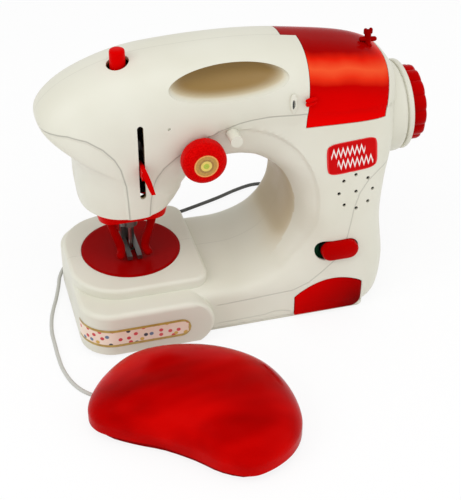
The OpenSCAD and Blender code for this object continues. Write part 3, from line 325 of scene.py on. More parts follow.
# Seam lines on the column and base
SEAMS = [
    np.array([[-30, 20], [0.3, 21], [25.7, 22.2], [36, 26], [43.4, 31.6], [52.4, 40], [57, 47.5],
              [60, 54.4], [64.1, 72.5], [67.8, 81.9], [73.5, 89.7], [80.5, 95], [92, 101.0]]),
    np.array([[-28, 6.5], [8, 7], [14, 8.5], [20, 8], [27, 5.5]]),
]
# Where each of these lines shows (from x, to x, above z) and how dark it is
LINE_SPANS = [(-200, 200, 70), (-200, 58, 70), (-23, 200, 0), (-22, 26, 0)]
LINE_DEPTHS = [0.6, 0.6, 0.4, 0.35]


# Finishes

class Finish:
    """Builder for a node material round one Principled shader, on Object coordinates in metres."""

    def __init__(self, name, **values):
        """Starts a material; the values set sockets of the shader by their names."""
        self.material = bpy.data.materials.new(name)
        self.material.use_nodes = True
        self.tree = self.material.node_tree
        self.shader = self.tree.nodes["Principled BSDF"]
        self.place = self.add("ShaderNodeTexCoord").outputs["Object"]
        for key, value in values.items():
            self.shader.inputs[key.replace("_", " ").title().replace("Ior", "IOR")].default_value = value

    def add(self, kind, **settings):
        """New node of a kind, with its settings."""
        node = self.tree.nodes.new(kind)
        for key, value in settings.items():
            setattr(node, key, value)
        return node

    def link(self, a, b):
        """Joins an output to an input."""
        self.tree.links.new(a, b)

    def noise(self, scale, detail=3.0, rough=0.5, vector=None):
        """Smooth noise over a vector, or over the place on the piece."""
        node = self.add("ShaderNodeTexNoise")
        node.inputs["Scale"].default_value = scale
        node.inputs["Detail"].default_value = detail
        node.inputs["Roughness"].default_value = rough
        self.link(vector or self.place, node.inputs["Vector"])
        return node.outputs["Fac"]

    def ramp(self, value, *stops):
        """Colour by a value, between stops of (value, colour)."""
        node = self.add("ShaderNodeValToRGB")
        ramp = node.color_ramp
        while len(ramp.elements) < len(stops):
            ramp.elements.new(0.5)
        for element, (at, colour) in zip(ramp.elements, stops):
            element.position = at
            element.color = (*colour, 1.0)
        self.link(value, node.inputs["Fac"])
        return node.outputs["Color"]

    def span(self, value, lo, hi, to_lo, to_hi):
        """Value carried from the range lo to hi to another range."""
        node = self.add("ShaderNodeMapRange")
        for key, number in zip(("From Min", "From Max", "To Min", "To Max"), (lo, hi, to_lo, to_hi)):
            node.inputs[key].default_value = number
        self.link(value, node.inputs["Value"])
        return node.outputs["Result"]

    def math(self, operation, a, b=None):
        """One operation on sockets or numbers."""
        node = self.add("ShaderNodeMath", operation=operation)
        for socket, value in zip(node.inputs, (a, b)):
            if value is None:
                continue
            if isinstance(value, (int, float)):
                socket.default_value = value
            else:
                self.link(value, socket)
        return node.outputs["Value"]

    def mix(self, factor, a, b):
        """Blend of two colours; each entry is a socket, number or colour."""
        node = self.add("ShaderNodeMix", data_type="RGBA", blend_type="MIX")
        sockets = [s for s in node.inputs if s.enabled]
        for socket, value in zip(sockets, (factor, a, b)):
            if isinstance(value, tuple):
                socket.default_value = (*value, 1.0)
            elif isinstance(value, (int, float)):
                socket.default_value = value
            else:
                self.link(value, socket)
        return [s for s in node.outputs if s.enabled][0]

    def attribute(self, name):
        """Number that the mesh stores under a name."""
        return self.add("ShaderNodeAttribute", attribute_name=name).outputs["Fac"]

    def uv(self):
        """The piece's own UV map."""
        return self.add("ShaderNodeUVMap", uv_map="surface").outputs["UV"]

    def axes(self, vector=None):
        """X, Y and Z of a vector, or of the place on the piece."""
        node = self.add("ShaderNodeSeparateXYZ")
        self.link(vector or self.place, node.inputs["Vector"])
        return [node.outputs[axis] for axis in "XYZ"]

    def stretched(self, scale, turn=0.0, vector=None):
        """A vector, or the place on the piece, turned about Z and scaled."""
        node = self.add("ShaderNodeMapping")
        node.inputs["Rotation"].default_value = (0.0, 0.0, turn)
        node.inputs["Scale"].default_value = scale
        self.link(vector or self.place, node.inputs["Vector"])
        return node.outputs["Vector"]

    def off_middle(self, value):
        """How far a value from 0 to 1 lies from its middle: 0 there and 1 at both ends."""
        return self.math("ABSOLUTE", self.math("SUBTRACT", self.math("MULTIPLY", value, 2.0), 1.0))

    def colour(self, value):
        """Sends a colour to the shader."""
        self.link(value, self.shader.inputs["Base Color"])

    def roughness(self, value):
        """Sends a roughness to the shader."""
        self.link(value, self.shader.inputs["Roughness"])

    def bump(self, *heights):
        """Bumps in turn, each as (height, strength, distance in metres)."""
        below = None
        for height, strength, distance in heights:
            node = self.add("ShaderNodeBump")
            node.inputs["Strength"].default_value = strength
            node.inputs["Distance"].default_value = distance
            self.link(height, node.inputs["Height"])
            if below:
                self.link(below, node.inputs["Normal"])
            below = node.outputs["Normal"]
        self.link(below, self.shader.inputs["Normal"])


def moulded(name, dark, light, rough, seams=False, **values):
    """Moulded plastic: slow colour drift, faint flow marks, fine grain, and seam lines from an attribute;
    with seams, also painted brown shade from a stored recess value.
    """
    f = Finish(name, **values)
    drift = f.noise(22.0, 2.0)
    colour = f.ramp(drift, (0.3, dark), (0.7, light))
    grain = f.noise(2600.0, 2.0)
    wave = f.noise(140.0, 2.0)
    heights = [(wave, 0.05, 0.0006), (grain, 0.06, 0.00008)]
    if seams:
        line = f.span(f.math("ABSOLUTE", f.axes()[1]), 0.00008, 0.0003, 0.25, 0.0)
        for k, depth in enumerate(LINE_DEPTHS):
            near = f.span(f.math("ABSOLUTE", f.attribute("line_%d" % k)), 0.1, 0.6, depth, 0.0)
            line = f.math("MAXIMUM", line, f.math("MULTIPLY", near, f.attribute("shown_%d" % k)))
        colour = f.mix(line, colour, tuple(0.4 * c for c in dark))
        # Painted shade: the stored recess value tints the ivory brown, then dark brown, where shade falls in
        # recesses, the work opening and the head
        recess_shade = f.attribute("recess")
        colour = f.mix(f.span(recess_shade, 0.0, 0.45, 0.0, 0.6), colour, (0.52, 0.41, 0.22))
        colour = f.mix(f.span(recess_shade, 0.3, 1.0, 0.0, 0.95), colour, (0.26, 0.15, 0.03))
        heights.insert(0, (f.math("SUBTRACT", 1.0, line), 0.7, 0.0005))
    f.colour(colour)
    f.roughness(f.span(f.noise(90.0, 3.0), 0.3, 0.7, rough - 0.05, rough + 0.07))
    f.bump(*heights)
    return f.material


def steel(name, tint, rough):
    """Drawn steel: streaks along Z, uneven polish and a fine bump."""
    f = Finish(name, metallic=1.0)
    streak = f.noise(1.0, 2.0, vector=f.stretched((900.0, 900.0, 60.0)))
    f.colour(f.ramp(streak, (0.25, tuple(0.75 * t for t in tint)), (0.75, tint)))
    f.roughness(f.span(streak, 0.2, 0.8, rough - 0.06, rough + 0.1))
    f.bump((streak, 0.1, 0.0001))
    return f.material


IVORY = (0.665, 0.650, 0.545), (0.71, 0.70, 0.605), 0.38
ivory = moulded("ivory_shell", *IVORY, seams=True, specular_ior_level=0.3)
ivory_trim = moulded("ivory_trim", *IVORY, specular_ior_level=0.3)
RED_SHEEN = dict(specular_ior_level=0.04, specular_tint=(1.0, 0.06, 0.05, 1.0))
red = moulded("red_gloss", (0.54, 0.0003, 0.0003), (0.64, 0.0004, 0.0004), 0.32, **RED_SHEEN)
deep_red = moulded("deep_red", (0.26, 0.0002, 0.0002), (0.33, 0.0003, 0.0003), 0.35, **RED_SHEEN)
tinted_red = moulded("tinted_red", (0.36, 0.0003, 0.0003), (0.46, 0.0004, 0.0004), 0.25, **RED_SHEEN)
grey = moulded("grey_plastic", (0.50, 0.50, 0.48), (0.60, 0.60, 0.57), 0.45)
black = moulded("black_plastic", (0.012, 0.012, 0.012), (0.03, 0.03, 0.03), 0.4)
acetal = moulded("gear_white", (0.72, 0.72, 0.68), (0.80, 0.80, 0.76), 0.38)
board_green = moulded("board_green", (0.01, 0.16, 0.06), (0.03, 0.24, 0.10), 0.35)
cell_jacket = moulded("cell_jacket", (0.42, 0.24, 0.03), (0.52, 0.32, 0.05), 0.3, metallic=0.6)
bright_steel = steel("drawn_steel", (0.66, 0.66, 0.65), 0.28)
dark_steel = steel("dark_steel", (0.22, 0.21, 0.20), 0.35)
brass = steel("turned_brass", (0.72, 0.50, 0.18), 0.3)


# The cord between the column and the pedal

CORD_ROUTE = np.array([
    [64, 46, 6.5], [64, 52, 6.3], [64.4, 61, 5], [65, 72, 2.8], [64.5, 84, 1.5], [61, 95, 1.3],
    [54, 101.7, 1.3], [44, 103.2, 1.3], [31, 99.5, 1.3], [17, 93.5, 1.3], [3, 88.5, 1.3], [-12, 83.5, 1.3],
    [-28, 79, 1.3], [-45, 74, 1.3], [-62, 68, 1.3], [-77, 61, 1.3], [-90, 52, 1.3], [-100, 42, 1.3],
    [-105.6, 31.5, 1.3], [-108.6, 19.8, 1.3], [-112, 8, 1.3], [-115.5, -2.5, 1.3], [-118, -12, 1.3],
    [-119.7, -23.8, 1.3], [-119.9, -36, 1.3], [-119.8, -48.3, 1.3], [-119, -60, 1.3], [-116.5, -71, 1.3],
    [-113, -79, 1.3], [-108.5, -85, 1.3], [-104, -88.5, 1.3], [-98.5, -91.7, 1.3]])
CORD_D = 2.4


def cord_jacket():
    """Soft grey jacket with painted shade: dark on the run behind the machine, where shade falls, and paler
    next to the bed.
    """
    f = Finish("cord_jacket", specular_ior_level=0.25)
    # Painted shade: the cord turns dark past y = 30 mm, behind the machine
    painted_light_by_bed = f.span(f.axes()[1], 0.03, 0.07, 1.0, 0.0)
    tone = f.math("ADD", painted_light_by_bed, f.math("MULTIPLY", f.noise(300.0), 0.1))
    f.colour(f.ramp(tone, (0.05, (0.07, 0.07, 0.065)), (0.95, (0.52, 0.52, 0.48))))
    f.roughness(f.span(f.noise(400.0), 0.3, 0.7, 0.4, 0.5))
    f.bump((f.noise(2500.0), 0.08, 0.0001))
    return f.material


def lay_cord():
    """One open curve along the route's spline, with a round section."""
    s = np.linspace(0, len(CORD_ROUTE) - 1, (len(CORD_ROUTE) - 1) * 6 + 1)
    line = spline_at(CORD_ROUTE, s) * MM
    data = bpy.data.curves.new("pedal_lead", "CURVE")
    data.dimensions = "3D"
    data.bevel_depth = CORD_D / 2 * MM
    data.bevel_resolution = 4
    run = data.splines.new("POLY")
    run.points.add(len(line) - 1)
    run.points.foreach_set("co", np.column_stack([line, np.ones(len(line))]).ravel())
    run.use_smooth = True
    piece = placed("pedal_lead", data)
    data.materials.append(cord_jacket())
    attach(piece, "machine")
    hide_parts("pedal_cord")


lay_cord()


# The two half shells

ARC_X, ARC_Z = OPENING_X - OPENING_R, BASE_H + OPENING_R
HEAD_RIGHT = NEEDLE_X + HEAD_R
THROAT_R = ARC_X - HEAD_RIGHT
THROAT_Z = HEAD_Z + 1.5
THROAT_H = BASE_H + 2 * OPENING_R - THROAT_Z


def arch(a):
    """Point on the column side of the work opening."""
    return ARC_X + OPENING_R * math.cos(math.radians(a)), ARC_Z + OPENING_R * math.sin(math.radians(a))


def throat(a):
    """Point on the head side of the work opening."""
    return ARC_X + THROAT_R * math.cos(math.radians(a)), THROAT_Z + THROAT_H * math.sin(math.radians(a))


# Sections of the C-shaped body: point on the opening, point on the outline, half depth, and the roundings
# of the opening's front edge, its rear edge and the outline
STATIONS = np.array([(*inner, *outer, *rest) for inner, outer, rest in [
    ((NEEDLE_X, BASE_H), (NEEDLE_X, 0), (BASE_HALF, 6, 6, 8)),
    ((ARC_X - 17, BASE_H), (ARC_X - 17, 0), (BASE_HALF, 6, 6, 8)),
    (arch(-84), (COLUMN_X - 73, 0), (BASE_HALF, 5, 6, 8)),
    (arch(-58), (COLUMN_X - 43, 0), (BASE_HALF, 4, 6, 8)),
    (arch(-38), (COLUMN_X - 20, 0), (BASE_HALF, 3.4, 6, 8)),
    (arch(-20), (COLUMN_X - 5, 7), (BASE_HALF, 3.2, 6, 6)),
    (arch(-6), (COLUMN_X + 0.5, BASE_H - 2), (BASE_HALF - 1, 3.2, 6, 5)),
    (arch(6), (COLUMN_X - 2, BASE_H + 29), (BASE_HALF - 3, 3.2, 6, 5)),
    (arch(20), (COLUMN_X + 0.5, WHEEL_Z - 29), (BASE_HALF - 6, 3.2, 6, 5)),
    (arch(38), (COLUMN_X + 5, WHEEL_Z - 7), (ARM_HALF + 7, 3.4, 5.5, 5)),
    (arch(55), (COLUMN_X + 7.5, WHEEL_Z + 13), (ARM_HALF + 4, 4, 5, 4)),
    (arch(70), (COLUMN_X + 7.5, ARM_TOP - 24.5), (ARM_HALF + 2, 4.2, 5, 3)),
    (arch(82), (COLUMN_X - 9.5, ARM_TOP - 12.5), (ARM_HALF + 1, 4.4, 4.4, 2.6)),
    (arch(90), (COLUMN_X - 47, ARM_TOP - 4.7), (ARM_HALF + 0.5, 4.4, 4.4, 2.5)),
    (throat(105), (COLUMN_X - 80, ARM_TOP - 0.5), (ARM_HALF, 4.4, 4.4, 2.4)),
    (throat(125), (NEEDLE_X + 34, ARM_TOP), (ARM_HALF, 4, 4, 2.4)),
    (throat(142), (NEEDLE_X - 1, ARM_TOP - 2.8), (ARM_HALF, 3, 3, 2.4)),
    (throat(156), (19 - NOSE_X, ARM_TOP - 12.8), (ARM_HALF, 3, 3, 2.4)),
    (throat(167), (2 - NOSE_X, ARM_TOP - 26), (ARM_HALF, 2.6, 2.6, 2.4)),
    (throat(174), (-NOSE_X, ARM_TOP - 38), (ARM_HALF, 2.5, 2.5, 2.4)),
    ((HEAD_RIGHT - 0.5, HEAD_Z + 3.5), (NEEDLE_X - HEAD_R - 7, HEAD_Z + 41), (ARM_HALF, 2.4, 2.4, 2.4)),
    ((HEAD_RIGHT - 1.5, HEAD_Z + 2.3), (NEEDLE_X - HEAD_R - 1, HEAD_Z + 26.5), (ARM_HALF, 2.3, 2.3, 2.4)),
    ((HEAD_RIGHT - 3, HEAD_Z + 1.1), (NEEDLE_X - HEAD_R - 0.2, HEAD_Z + 12), (ARM_HALF, 2.3, 2.3, 2.4)),
    ((HEAD_RIGHT - 5, HEAD_Z), (NEEDLE_X - HEAD_R + 1, HEAD_Z + 0.5), (ARM_HALF, 2.3, 2.3, 2.3)),
]], float)
# Sections past this one, over the head, are divided twice as finely
ARM_END = 12


def body_grid(inset, detail):
    """Loft of superellipse sections, each in the plane through its two points and Y, drawn in by an inset.
    Without an inset the skin steps back beyond the skin edges, and in front also inside the rim."""
    steps = np.where(np.arange(len(STATIONS) - 1) > ARM_END, 2 * detail, detail)
    s = np.concatenate([i + np.arange(n) / n for i, n in enumerate(steps)] + [[len(STATIONS) - 1.0]])
    row = spline_at(STATIONS, s)
    inner, outer = row[:, :2], row[:, 2:4]
    depth, front_n, rear_n, outer_n = row[:, 4:].T[:, :, None]
    span = np.linalg.norm(outer - inner, axis=1)
    a = np.linspace(0, 2 * np.pi, 16 * detail, endpoint=False)
    c, q = np.cos(a), np.sin(a)
    n = np.where(c > 0, outer_n, np.where(q > 0, rear_n, front_n))
    half = np.where(q > 0, np.minimum(depth, REAR_HALF), depth)
    along = np.sign(c) * np.abs(c) ** (2 / n) * (span / 2 - inset)[:, None]
    y = np.sign(q) * np.abs(q) ** (2 / n) * (half - inset)
    way = (outer - inner) / span[:, None]
    mid = (outer + inner) / 2
    x = mid[:, 0, None] + along * way[:, 0, None]
    z = mid[:, 1, None] + along * way[:, 1, None]
    if inset == 0:
        step = sum(smoothstep(-0.2, 1.6, line_distance(edge, x, z)) for edge in SKIN_EDGES)
        y = y - np.sign(y) * SKIN_STEP * step * smoothstep(0.3, 0.8, np.abs(y) / half)
        rim = RIM_R - np.hypot(x - RIM_AT[0], z - RIM_AT[1])
        band = smoothstep(-0.6, 1.0, rim) * smoothstep(-45, -20, x) * smoothstep(34, 40, z)
        y = y + RIM_STEP * band * smoothstep(0.35, 0.8, -y / half)
    return np.stack([x, y, z], -1)


def plan_ring(x0, x1, y0, y1, r_left, r_right, arc=12):
    """Rectangle in plan with round corners: its left and right corners have their own radius."""
    corners = [(x1 - r_right, y1 - r_right, r_right, 0), (x0 + r_left, y1 - r_left, r_left, 90),
               (x0 + r_left, y0 + r_left, r_left, 180), (x1 - r_right, y0 + r_right, r_right, 270)]
    runs = []
    for x, y, r, start in corners:
        a = np.radians(start + np.linspace(0, 90, arc))
        runs.append(np.column_stack([x + r * np.cos(a), y + r * np.sin(a)]))
    return np.concatenate(runs)


APRON = dict(left=-104.0, right=-25.0, front=57.0, rear=45.0, height=31.0, corner=20.0, edge=3.2)
PLATEAU = dict(left=-104.0, right=-24.0, half=42.0, height=37.5, left_r=30.0, right_r=10.0, edge=2.5)


def drawn_in(z, height, edge):
    """How far a top edge, rounded on a quarter circle, is drawn in at the heights z."""
    return edge - np.sqrt(np.maximum(edge ** 2 - np.maximum(z - height + edge, 0) ** 2, 0))


def apron_grid(inset):
    """Plan outlines stacked over height: the top edge is rounded and the right end is a half circle."""
    left, right, front, rear, height, corner, edge = APRON.values()
    arc = height - edge + edge * np.sin(np.linspace(0.06, 1, 18) * np.pi / 2)
    z = np.concatenate([np.linspace(0, height - edge, 24), arc])
    end = height / 2
    reach = right - end + np.sqrt(np.maximum(end ** 2 - (z - end) ** 2, 0)) - inset
    rings = [plan_ring(left + d, max(r, -55), d - front, rear - d, corner - d, 3.0)
             for d, r in zip(inset + drawn_in(z, height, edge), reach)]
    return stacked(rings, np.minimum(z, height - inset))


def plateau_grid(inset):
    """Plan outlines stacked over height, with a small rounding at the top edge."""
    left, right, half, height, left_r, right_r, edge = PLATEAU.values()
    z = np.concatenate([[0.0, 20.0], height - edge + edge * np.sin(np.linspace(0, 1, 10) * np.pi / 2)])
    rings = [plan_ring(left + d, right - d, d - half, half - d, left_r - d, right_r - d)
             for d in inset + drawn_in(z, height, edge)]
    return stacked(rings, np.minimum(z, height - inset))


def machine_form(inset, detail):
    """The C-shaped body with the bed's apron and plateau, as one closed mesh."""
    form = solid("form", body_grid(inset, detail))
    return combine(form, "UNION", solid("apron", apron_grid(inset)), solid("plateau", plateau_grid(inset)))


def capsule_y(name, ends, radius, y0, y1):
    """Slot-shaped prism along Y."""
    ring = slot_ring(ends, radius)
    return layered(name, (ring, y0), (ring, y1))


GRIP_AT, GRIP_SIZE = np.array([-8.5, 30.0, 158.4]), np.array([35.0, 15.5, 7.0])
GRIP_TILT = math.radians(28)


def grip_form(side, grow):
    """Finger recess under the carrying arm's ridge: an ellipsoid tilted so that its inner end lies higher."""
    polar, round_x = np.linspace(0.03, np.pi - 0.03, 48), np.linspace(0, 2 * np.pi, 64, endpoint=False)
    t, a = np.meshgrid(polar, round_x, indexing="ij")
    sx, sy, sz = GRIP_SIZE + grow
    x, v, w = -sx * np.cos(t), sy * np.sin(t) * np.cos(a), sz * np.sin(t) * np.sin(a)
    y = v * math.cos(GRIP_TILT) + side * w * math.sin(GRIP_TILT)
    z = -side * v * math.sin(GRIP_TILT) + w * math.cos(GRIP_TILT)
    return solid("grip", np.stack([GRIP_AT[0] + x, side * GRIP_AT[1] + y, GRIP_AT[2] + z], -1))


COVER = dict(x0=36.0, x1=84.3, z=126.7, y=32.5, tongue=30.0, lean=0.08,
             slope=math.tan(math.radians(10.6)), t=1.8)
FLANGE_X = COLUMN_X - 2.0
FLANGE_R = 28.3
BUTTON_X, BUTTON_Y = NEEDLE_X - 3.0, -7.0


def cover_windows(grow):
    """Prism over the cover's window, its sides leaning, and a block over its tongue, grown by a clearance."""
    c = COVER
    x0, x1, z0, rear = c["x0"] - grow, c["x1"] + grow, c["z"] - grow, c["y"] + grow
    rise = 94.0
    z1 = z0 + rise
    ring = np.array([[x0, z0], [x1, z0], [x1 + rise * c["slope"], z1], [x0 + rise * c["lean"], z1]])
    window = layered("window", (ring, -FAR), (ring, rear))
    return [window, box("tongue", (c["tongue"] - grow, -grow, z0), (c["x0"] + 10, rear, z1))]


def drawer_outline(grow):
    """Outline of the drawer front in x and z: a flat foot with one round corner, and a raised sine top."""
    x0, width, low, side, rise, top, r = 27.5, 43.0, PLATE_T + GAP, 16.0, 4.0, 26.0, 6.0
    t = np.linspace(1, 0, 33)
    crown = side + grow + rise * t + (top - side - rise / 2) * np.sin(np.pi * t) ** 0.8
    arc = np.column_stack([x0 - grow + t * (width + 2 * grow), crown])
    a = np.radians(np.linspace(-90, 0, 9))
    corner = np.column_stack([x0 + width + grow - r + r * np.cos(a), low - grow + r + r * np.sin(a)])
    return np.concatenate([[[x0 - grow, low - grow]], corner, arc])


SPEAKER_X, SPEAKER_Z, SPEAKER_R = 65.5, WHEEL_Z - 30.5, 10.6
LEVER_SLOT = ((LEVER_X, 96), (LEVER_X, 140))
SWITCH_SLOT = ((46.3, SWITCH_Z), (60.9, SWITCH_Z))
# Radii of round and slot-shaped openings
BUTTON_HOLE_R, BAR_HOLE_R, LEVER_SLOT_R, SWITCH_SLOT_R = 6.5, 14.0, 1.8, 6.4
KNOB_HOLE_R, POST_HOLE_R, SOUND_HOLE_R, CORD_HOLE_R, SCREW_WELL_R = 2.6, 3.6, 1.1, 3.3, 3.3
# Moulded dimples in the front: x, z, y of the floor, radius
DIMPLES = [(-44.7, 137.9, -33.0, 0.9), (37.5, 34.0, -48.8, 0.8)]
SCREWS = [(16 - NOSE_X, ARM_TOP - 35), (-10, ARM_TOP - 32), (24, WHEEL_Z + 8.5), (COLUMN_X - 8, BASE_H + 20),
          (5, BASE_H / 2)]


def common_cuts():
    """Openings that both half shells share: cover, wheel flange, button, needle plate and needle bar."""
    flange = [(FLANGE_R + 0.1, FLANGE_X - GAP), (FLANGE_R + 0.1, 160)]
    return cover_windows(GAP) + [
        turned("flange_hole", flange, (0, 0, WHEEL_Z), "x", 128),
        rod_z("button_hole", BUTTON_X, BUTTON_Y, ARM_TOP - 30, ARM_TOP + 30, BUTTON_HOLE_R),
        rod_z("plate_seat", NEEDLE_X, 0, PLATE_Z, PLATE_Z + 9.5, PLATE_R + 0.2, 96),
        rod_z("plate_hole", NEEDLE_X, 0, PLATE_Z - 11.5, PLATE_Z + 0.5, PLATE_R - 2.7),
        rod_z("bar_hole", NEEDLE_X, 0, HEAD_Z - 5, HEAD_Z + 7, BAR_HOLE_R)]


def front_cuts():
    """Openings of the front shell alone: recess, drawer, slots, knob, post, sound holes and dimples."""
    drawer, ring = drawer_outline(GAP), np.radians(45 * np.arange(8))
    spots = [(0.0, 0.0)] + [(SPEAKER_R * math.cos(a), SPEAKER_R * math.sin(a)) for a in ring]
    return [grip_form(-1, 0), layered("drawer_hole", (drawer, -90), (drawer, -25)),
            capsule_y("lever_slot", LEVER_SLOT, LEVER_SLOT_R, -60, -17),
            capsule_y("switch_hole", SWITCH_SLOT, SWITCH_SLOT_R, -70, -25),
            rod_y("knob_hole", KNOB_X, KNOB_Z, -60, -5, KNOB_HOLE_R),
            rod_y("post_hole", POST_X, POST_Z, -60, -27, POST_HOLE_R),
            *[rod_y("sound_hole", SPEAKER_X + x, SPEAKER_Z + z, -70, -30, SOUND_HOLE_R) for x, z in spots],
            *[rod_y("dimple", x, z, -60, y, r) for x, z, y, r in DIMPLES]]


def rear_cuts():
    """Openings of the rear shell alone: thumb recess, cord hole and screw wells."""
    cord_x, _, cord_z = CORD_ROUTE[0]
    return [grip_form(1, 0), rod_y("cord_hole", cord_x, cord_z, 25, 70, CORD_HOLE_R),
            *[rod_y("screw_well", x, z, 18, 90, SCREW_WELL_R) for x, z in SCREWS]]


def extended(line, reach=200.0):
    """Polyline drawn out straight at both ends."""
    head, tail = line[0] - line[1], line[-1] - line[-2]
    return np.concatenate([[line[0] + reach * head / np.linalg.norm(head)], line,
                           [line[-1] + reach * tail / np.linalg.norm(tail)]])


def skin_depth(x, z, side):
    """Distance of one side's skin from the parting plane at the points (x, z): inverse-square mean of the
    six nearest loft points."""
    skin = body_grid(0, 10).reshape(-1, 3)
    lo, hi = np.array([x.min(), z.min()]) - 6, np.array([x.max(), z.max()]) + 6
    flat = skin[:, [0, 2]]
    skin = skin[(side * skin[:, 1] > 5) & (flat > lo).all(1) & (flat < hi).all(1)]
    gap = (x.ravel()[:, None] - skin[:, 0]) ** 2 + (z.ravel()[:, None] - skin[:, 2]) ** 2
    near = np.argpartition(gap, 6, axis=1)[:, :6]
    weight = 1 / (np.take_along_axis(gap, near, 1) + 1e-3)
    return ((side * skin[near, 1] * weight).sum(1) / weight.sum(1)).reshape(x.shape)


def mark_skin(piece, side):
    """Stores for each vertex its signed distance in millimetres from every line on the body, whether that
    line shows, and how far the vertex lies in a recess, the work opening or the head, from 0 to 1, as the
    weight of painted shade."""
    def store(name, values):
        """Keeps one number for each vertex."""
        layer = piece.data.attributes.new(name, "FLOAT", "POINT")
        layer.data.foreach_set("value", values.astype(np.float32))

    co = np.empty(len(piece.data.vertices) * 3, np.float32)
    normal = np.empty_like(co)
    piece.data.vertices.foreach_get("co", co)
    piece.data.vertex_normals.foreach_get("vector", normal)
    x, y, z = co.reshape(-1, 3).T.astype(float) / MM
    for k, (line, (x0, x1, z0)) in enumerate(zip(SKIN_EDGES + SEAMS, LINE_SPANS)):
        store("line_%d" % k, line_distance(extended(line), x, z))
        store("shown_%d" % k, smoothstep(x0, x0 + 2, x) * smoothstep(-x1, 2 - x1, -x)
              * smoothstep(z0 - 1, z0 + 1, z) * smoothstep(10, 16, np.abs(y)))
    # Painted shade on the wall of the work opening, stronger towards the rear and above the bed
    recess_shade = 0.55 * (np.abs(np.hypot(x - ARC_X, z - ARC_Z) - OPENING_R) < 1.5) * (x > ARC_X - 12)
    recess_shade = recess_shade * smoothstep(-44, -14, y) * smoothstep(34, 52, z)
    # Painted shade: inner faces of the head, turned towards its middle, are painted fully dark
    from_head = np.column_stack([x - NEEDLE_X, y, z - 125])
    faces_in = np.einsum("ij,ij->i", normal.reshape(-1, 3), from_head) < 0
    recess_shade[faces_in & (x < -46) & (z > HEAD_Z)] = 1.0
    # Painted shade in the finger recesses: darker the further the wall lies below the skin
    dx, dy, dz = x - GRIP_AT[0], y - side * GRIP_AT[1], z - GRIP_AT[2]
    c, q = math.cos(GRIP_TILT), math.sin(GRIP_TILT)
    local = np.stack([dx, dy * c - side * dz * q, side * dy * q + dz * c], -1) / GRIP_SIZE
    wall = np.abs((local ** 2).sum(-1) - 1) < 0.06
    recess_shade[wall] = smoothstep(0.4, 8.0, skin_depth(x[wall], z[wall], side) - np.abs(y[wall]))
    store("recess", recess_shade)


def half_shell(name, side, cavity, outer, cuts):
    """Half of the hollow form on one side of the parting plane, with its openings."""
    y0, y1 = sorted((0.0, side * FAR))
    half = combine(outer, "INTERSECT", box("half", (-FAR, y0, PLATE_T), (FAR, y1, FAR)))
    half.name = name
    combine(half, "DIFFERENCE", cavity, *cuts)
    return smooth(half)


def copy_of(piece):
    """Second mesh object of the same shape."""
    return placed(piece.name, piece.data.copy())


def make_shells():
    """Front and rear half shells: the machine's form less the same form drawn in by the wall."""
    outer = machine_form(0, 14)
    cavity = machine_form(WALL, 6)
    head_floor = box("head_floor", (-NOSE_X, -68, HEAD_Z - WALL), (HEAD_RIGHT + WALL, 68, HEAD_Z + WALL))
    combine(cavity, "DIFFERENCE", head_floor)
    combine(cavity, "DIFFERENCE", grip_form(-1, WALL), grip_form(1, WALL))
    front = half_shell("front_case", -1, copy_of(cavity), copy_of(outer), common_cuts() + front_cuts())
    rear = half_shell("rear_case", 1, cavity, outer, common_cuts() + rear_cuts())
    mark_skin(front, -1)
    mark_skin(rear, 1)
    dress(front, "machine", ivory, "front_shell", slot="white_plastic")
    dress(rear, "machine", ivory, "rear_shell", slot="white_plastic")


make_shells()


# The hinged cover

def cover_red_painted_light():
    """Tinted red plastic with painted light and shade by height: bright at the foot, a painted orange
    highlight band over the hollow and painted shade towards the ridge.
    """
    f = Finish("cover_red_painted_light", roughness=0.2, specular_ior_level=0.02, specular_tint=(1.0, 0.06, 0.05, 1.0))
    x, _, z = f.axes()
    height = f.math("ADD", z, f.math("MULTIPLY", f.noise(40.0, 2.0), 0.006))
    height = f.math("ADD", height, f.math("MULTIPLY", x, 0.19))
    # Painted light and shade: the ramp over height paints the lit foot, an orange highlight band and the
    # shaded ridge
    f.colour(f.ramp(f.span(height, 0.140, 0.190, 0.0, 1.0),
                    (0.0, (0.76, 0.0006, 0.0005)), (0.36, (0.60, 0.0006, 0.0005)),
                    (0.46, (0.50, 0.001, 0.0008)), (0.54, (0.74, 0.03, 0.008)),
                    (0.62, (0.80, 0.085, 0.025)), (0.70, (0.70, 0.012, 0.003)),
                    (0.75, (0.33, 0.0006, 0.0005)), (0.95, (0.22, 0.0004, 0.0004))))
    f.bump((f.noise(60.0, 1.0), 0.05, 0.0006))
    return f.material


def make_cover():
    """Body's skin less the same skin drawn in, cut to the window, with a grip lug and a tab."""
    skin = solid("red_cover", body_grid(0, 10))
    combine(skin, "DIFFERENCE", solid("under", body_grid(COVER["t"], 10)))
    window, tongue = cover_windows(0)
    combine(skin, "INTERSECT", combine(window, "UNION", tongue))
    x, low, high = COVER["x1"] - 1.3, ARM_TOP - 14.7, ARM_TOP - 7.5
    bars = [([x, -2, low], [x, -2, high], 2.0), ([x - 4, -2, low + 3.5], [x, -2, low + 3], 1.5),
            ([x, -6, low + 0.8], [x, 2, low + 1.8], 1.3), ([x, -2, low + 3], [x + 4.2, -2, low + 2.6], 1.5)]
    bars += [([x + d, -2, high], [x + d, -2, high + 1.6], 1.2) for d in (-1.6, 1.6)]
    tab_x, tab_z = COVER["x0"], COVER["z"] + 17.6
    bars += [([tab_x + 4, -ARM_HALF - 1.2, tab_z + d], [tab_x - 0.6, -ARM_HALF - 2.7, tab_z + d], 1.4)
             for d in (-1.2, 1.2)]
    combine(skin, "UNION", *[tube("bar", [p, q], r, 14, 2) for p, q, r in bars])
    dress(smooth(skin, 30), "lid", cover_red_painted_light(), "cover", slot="clear_red")


make_cover()


# The pedal

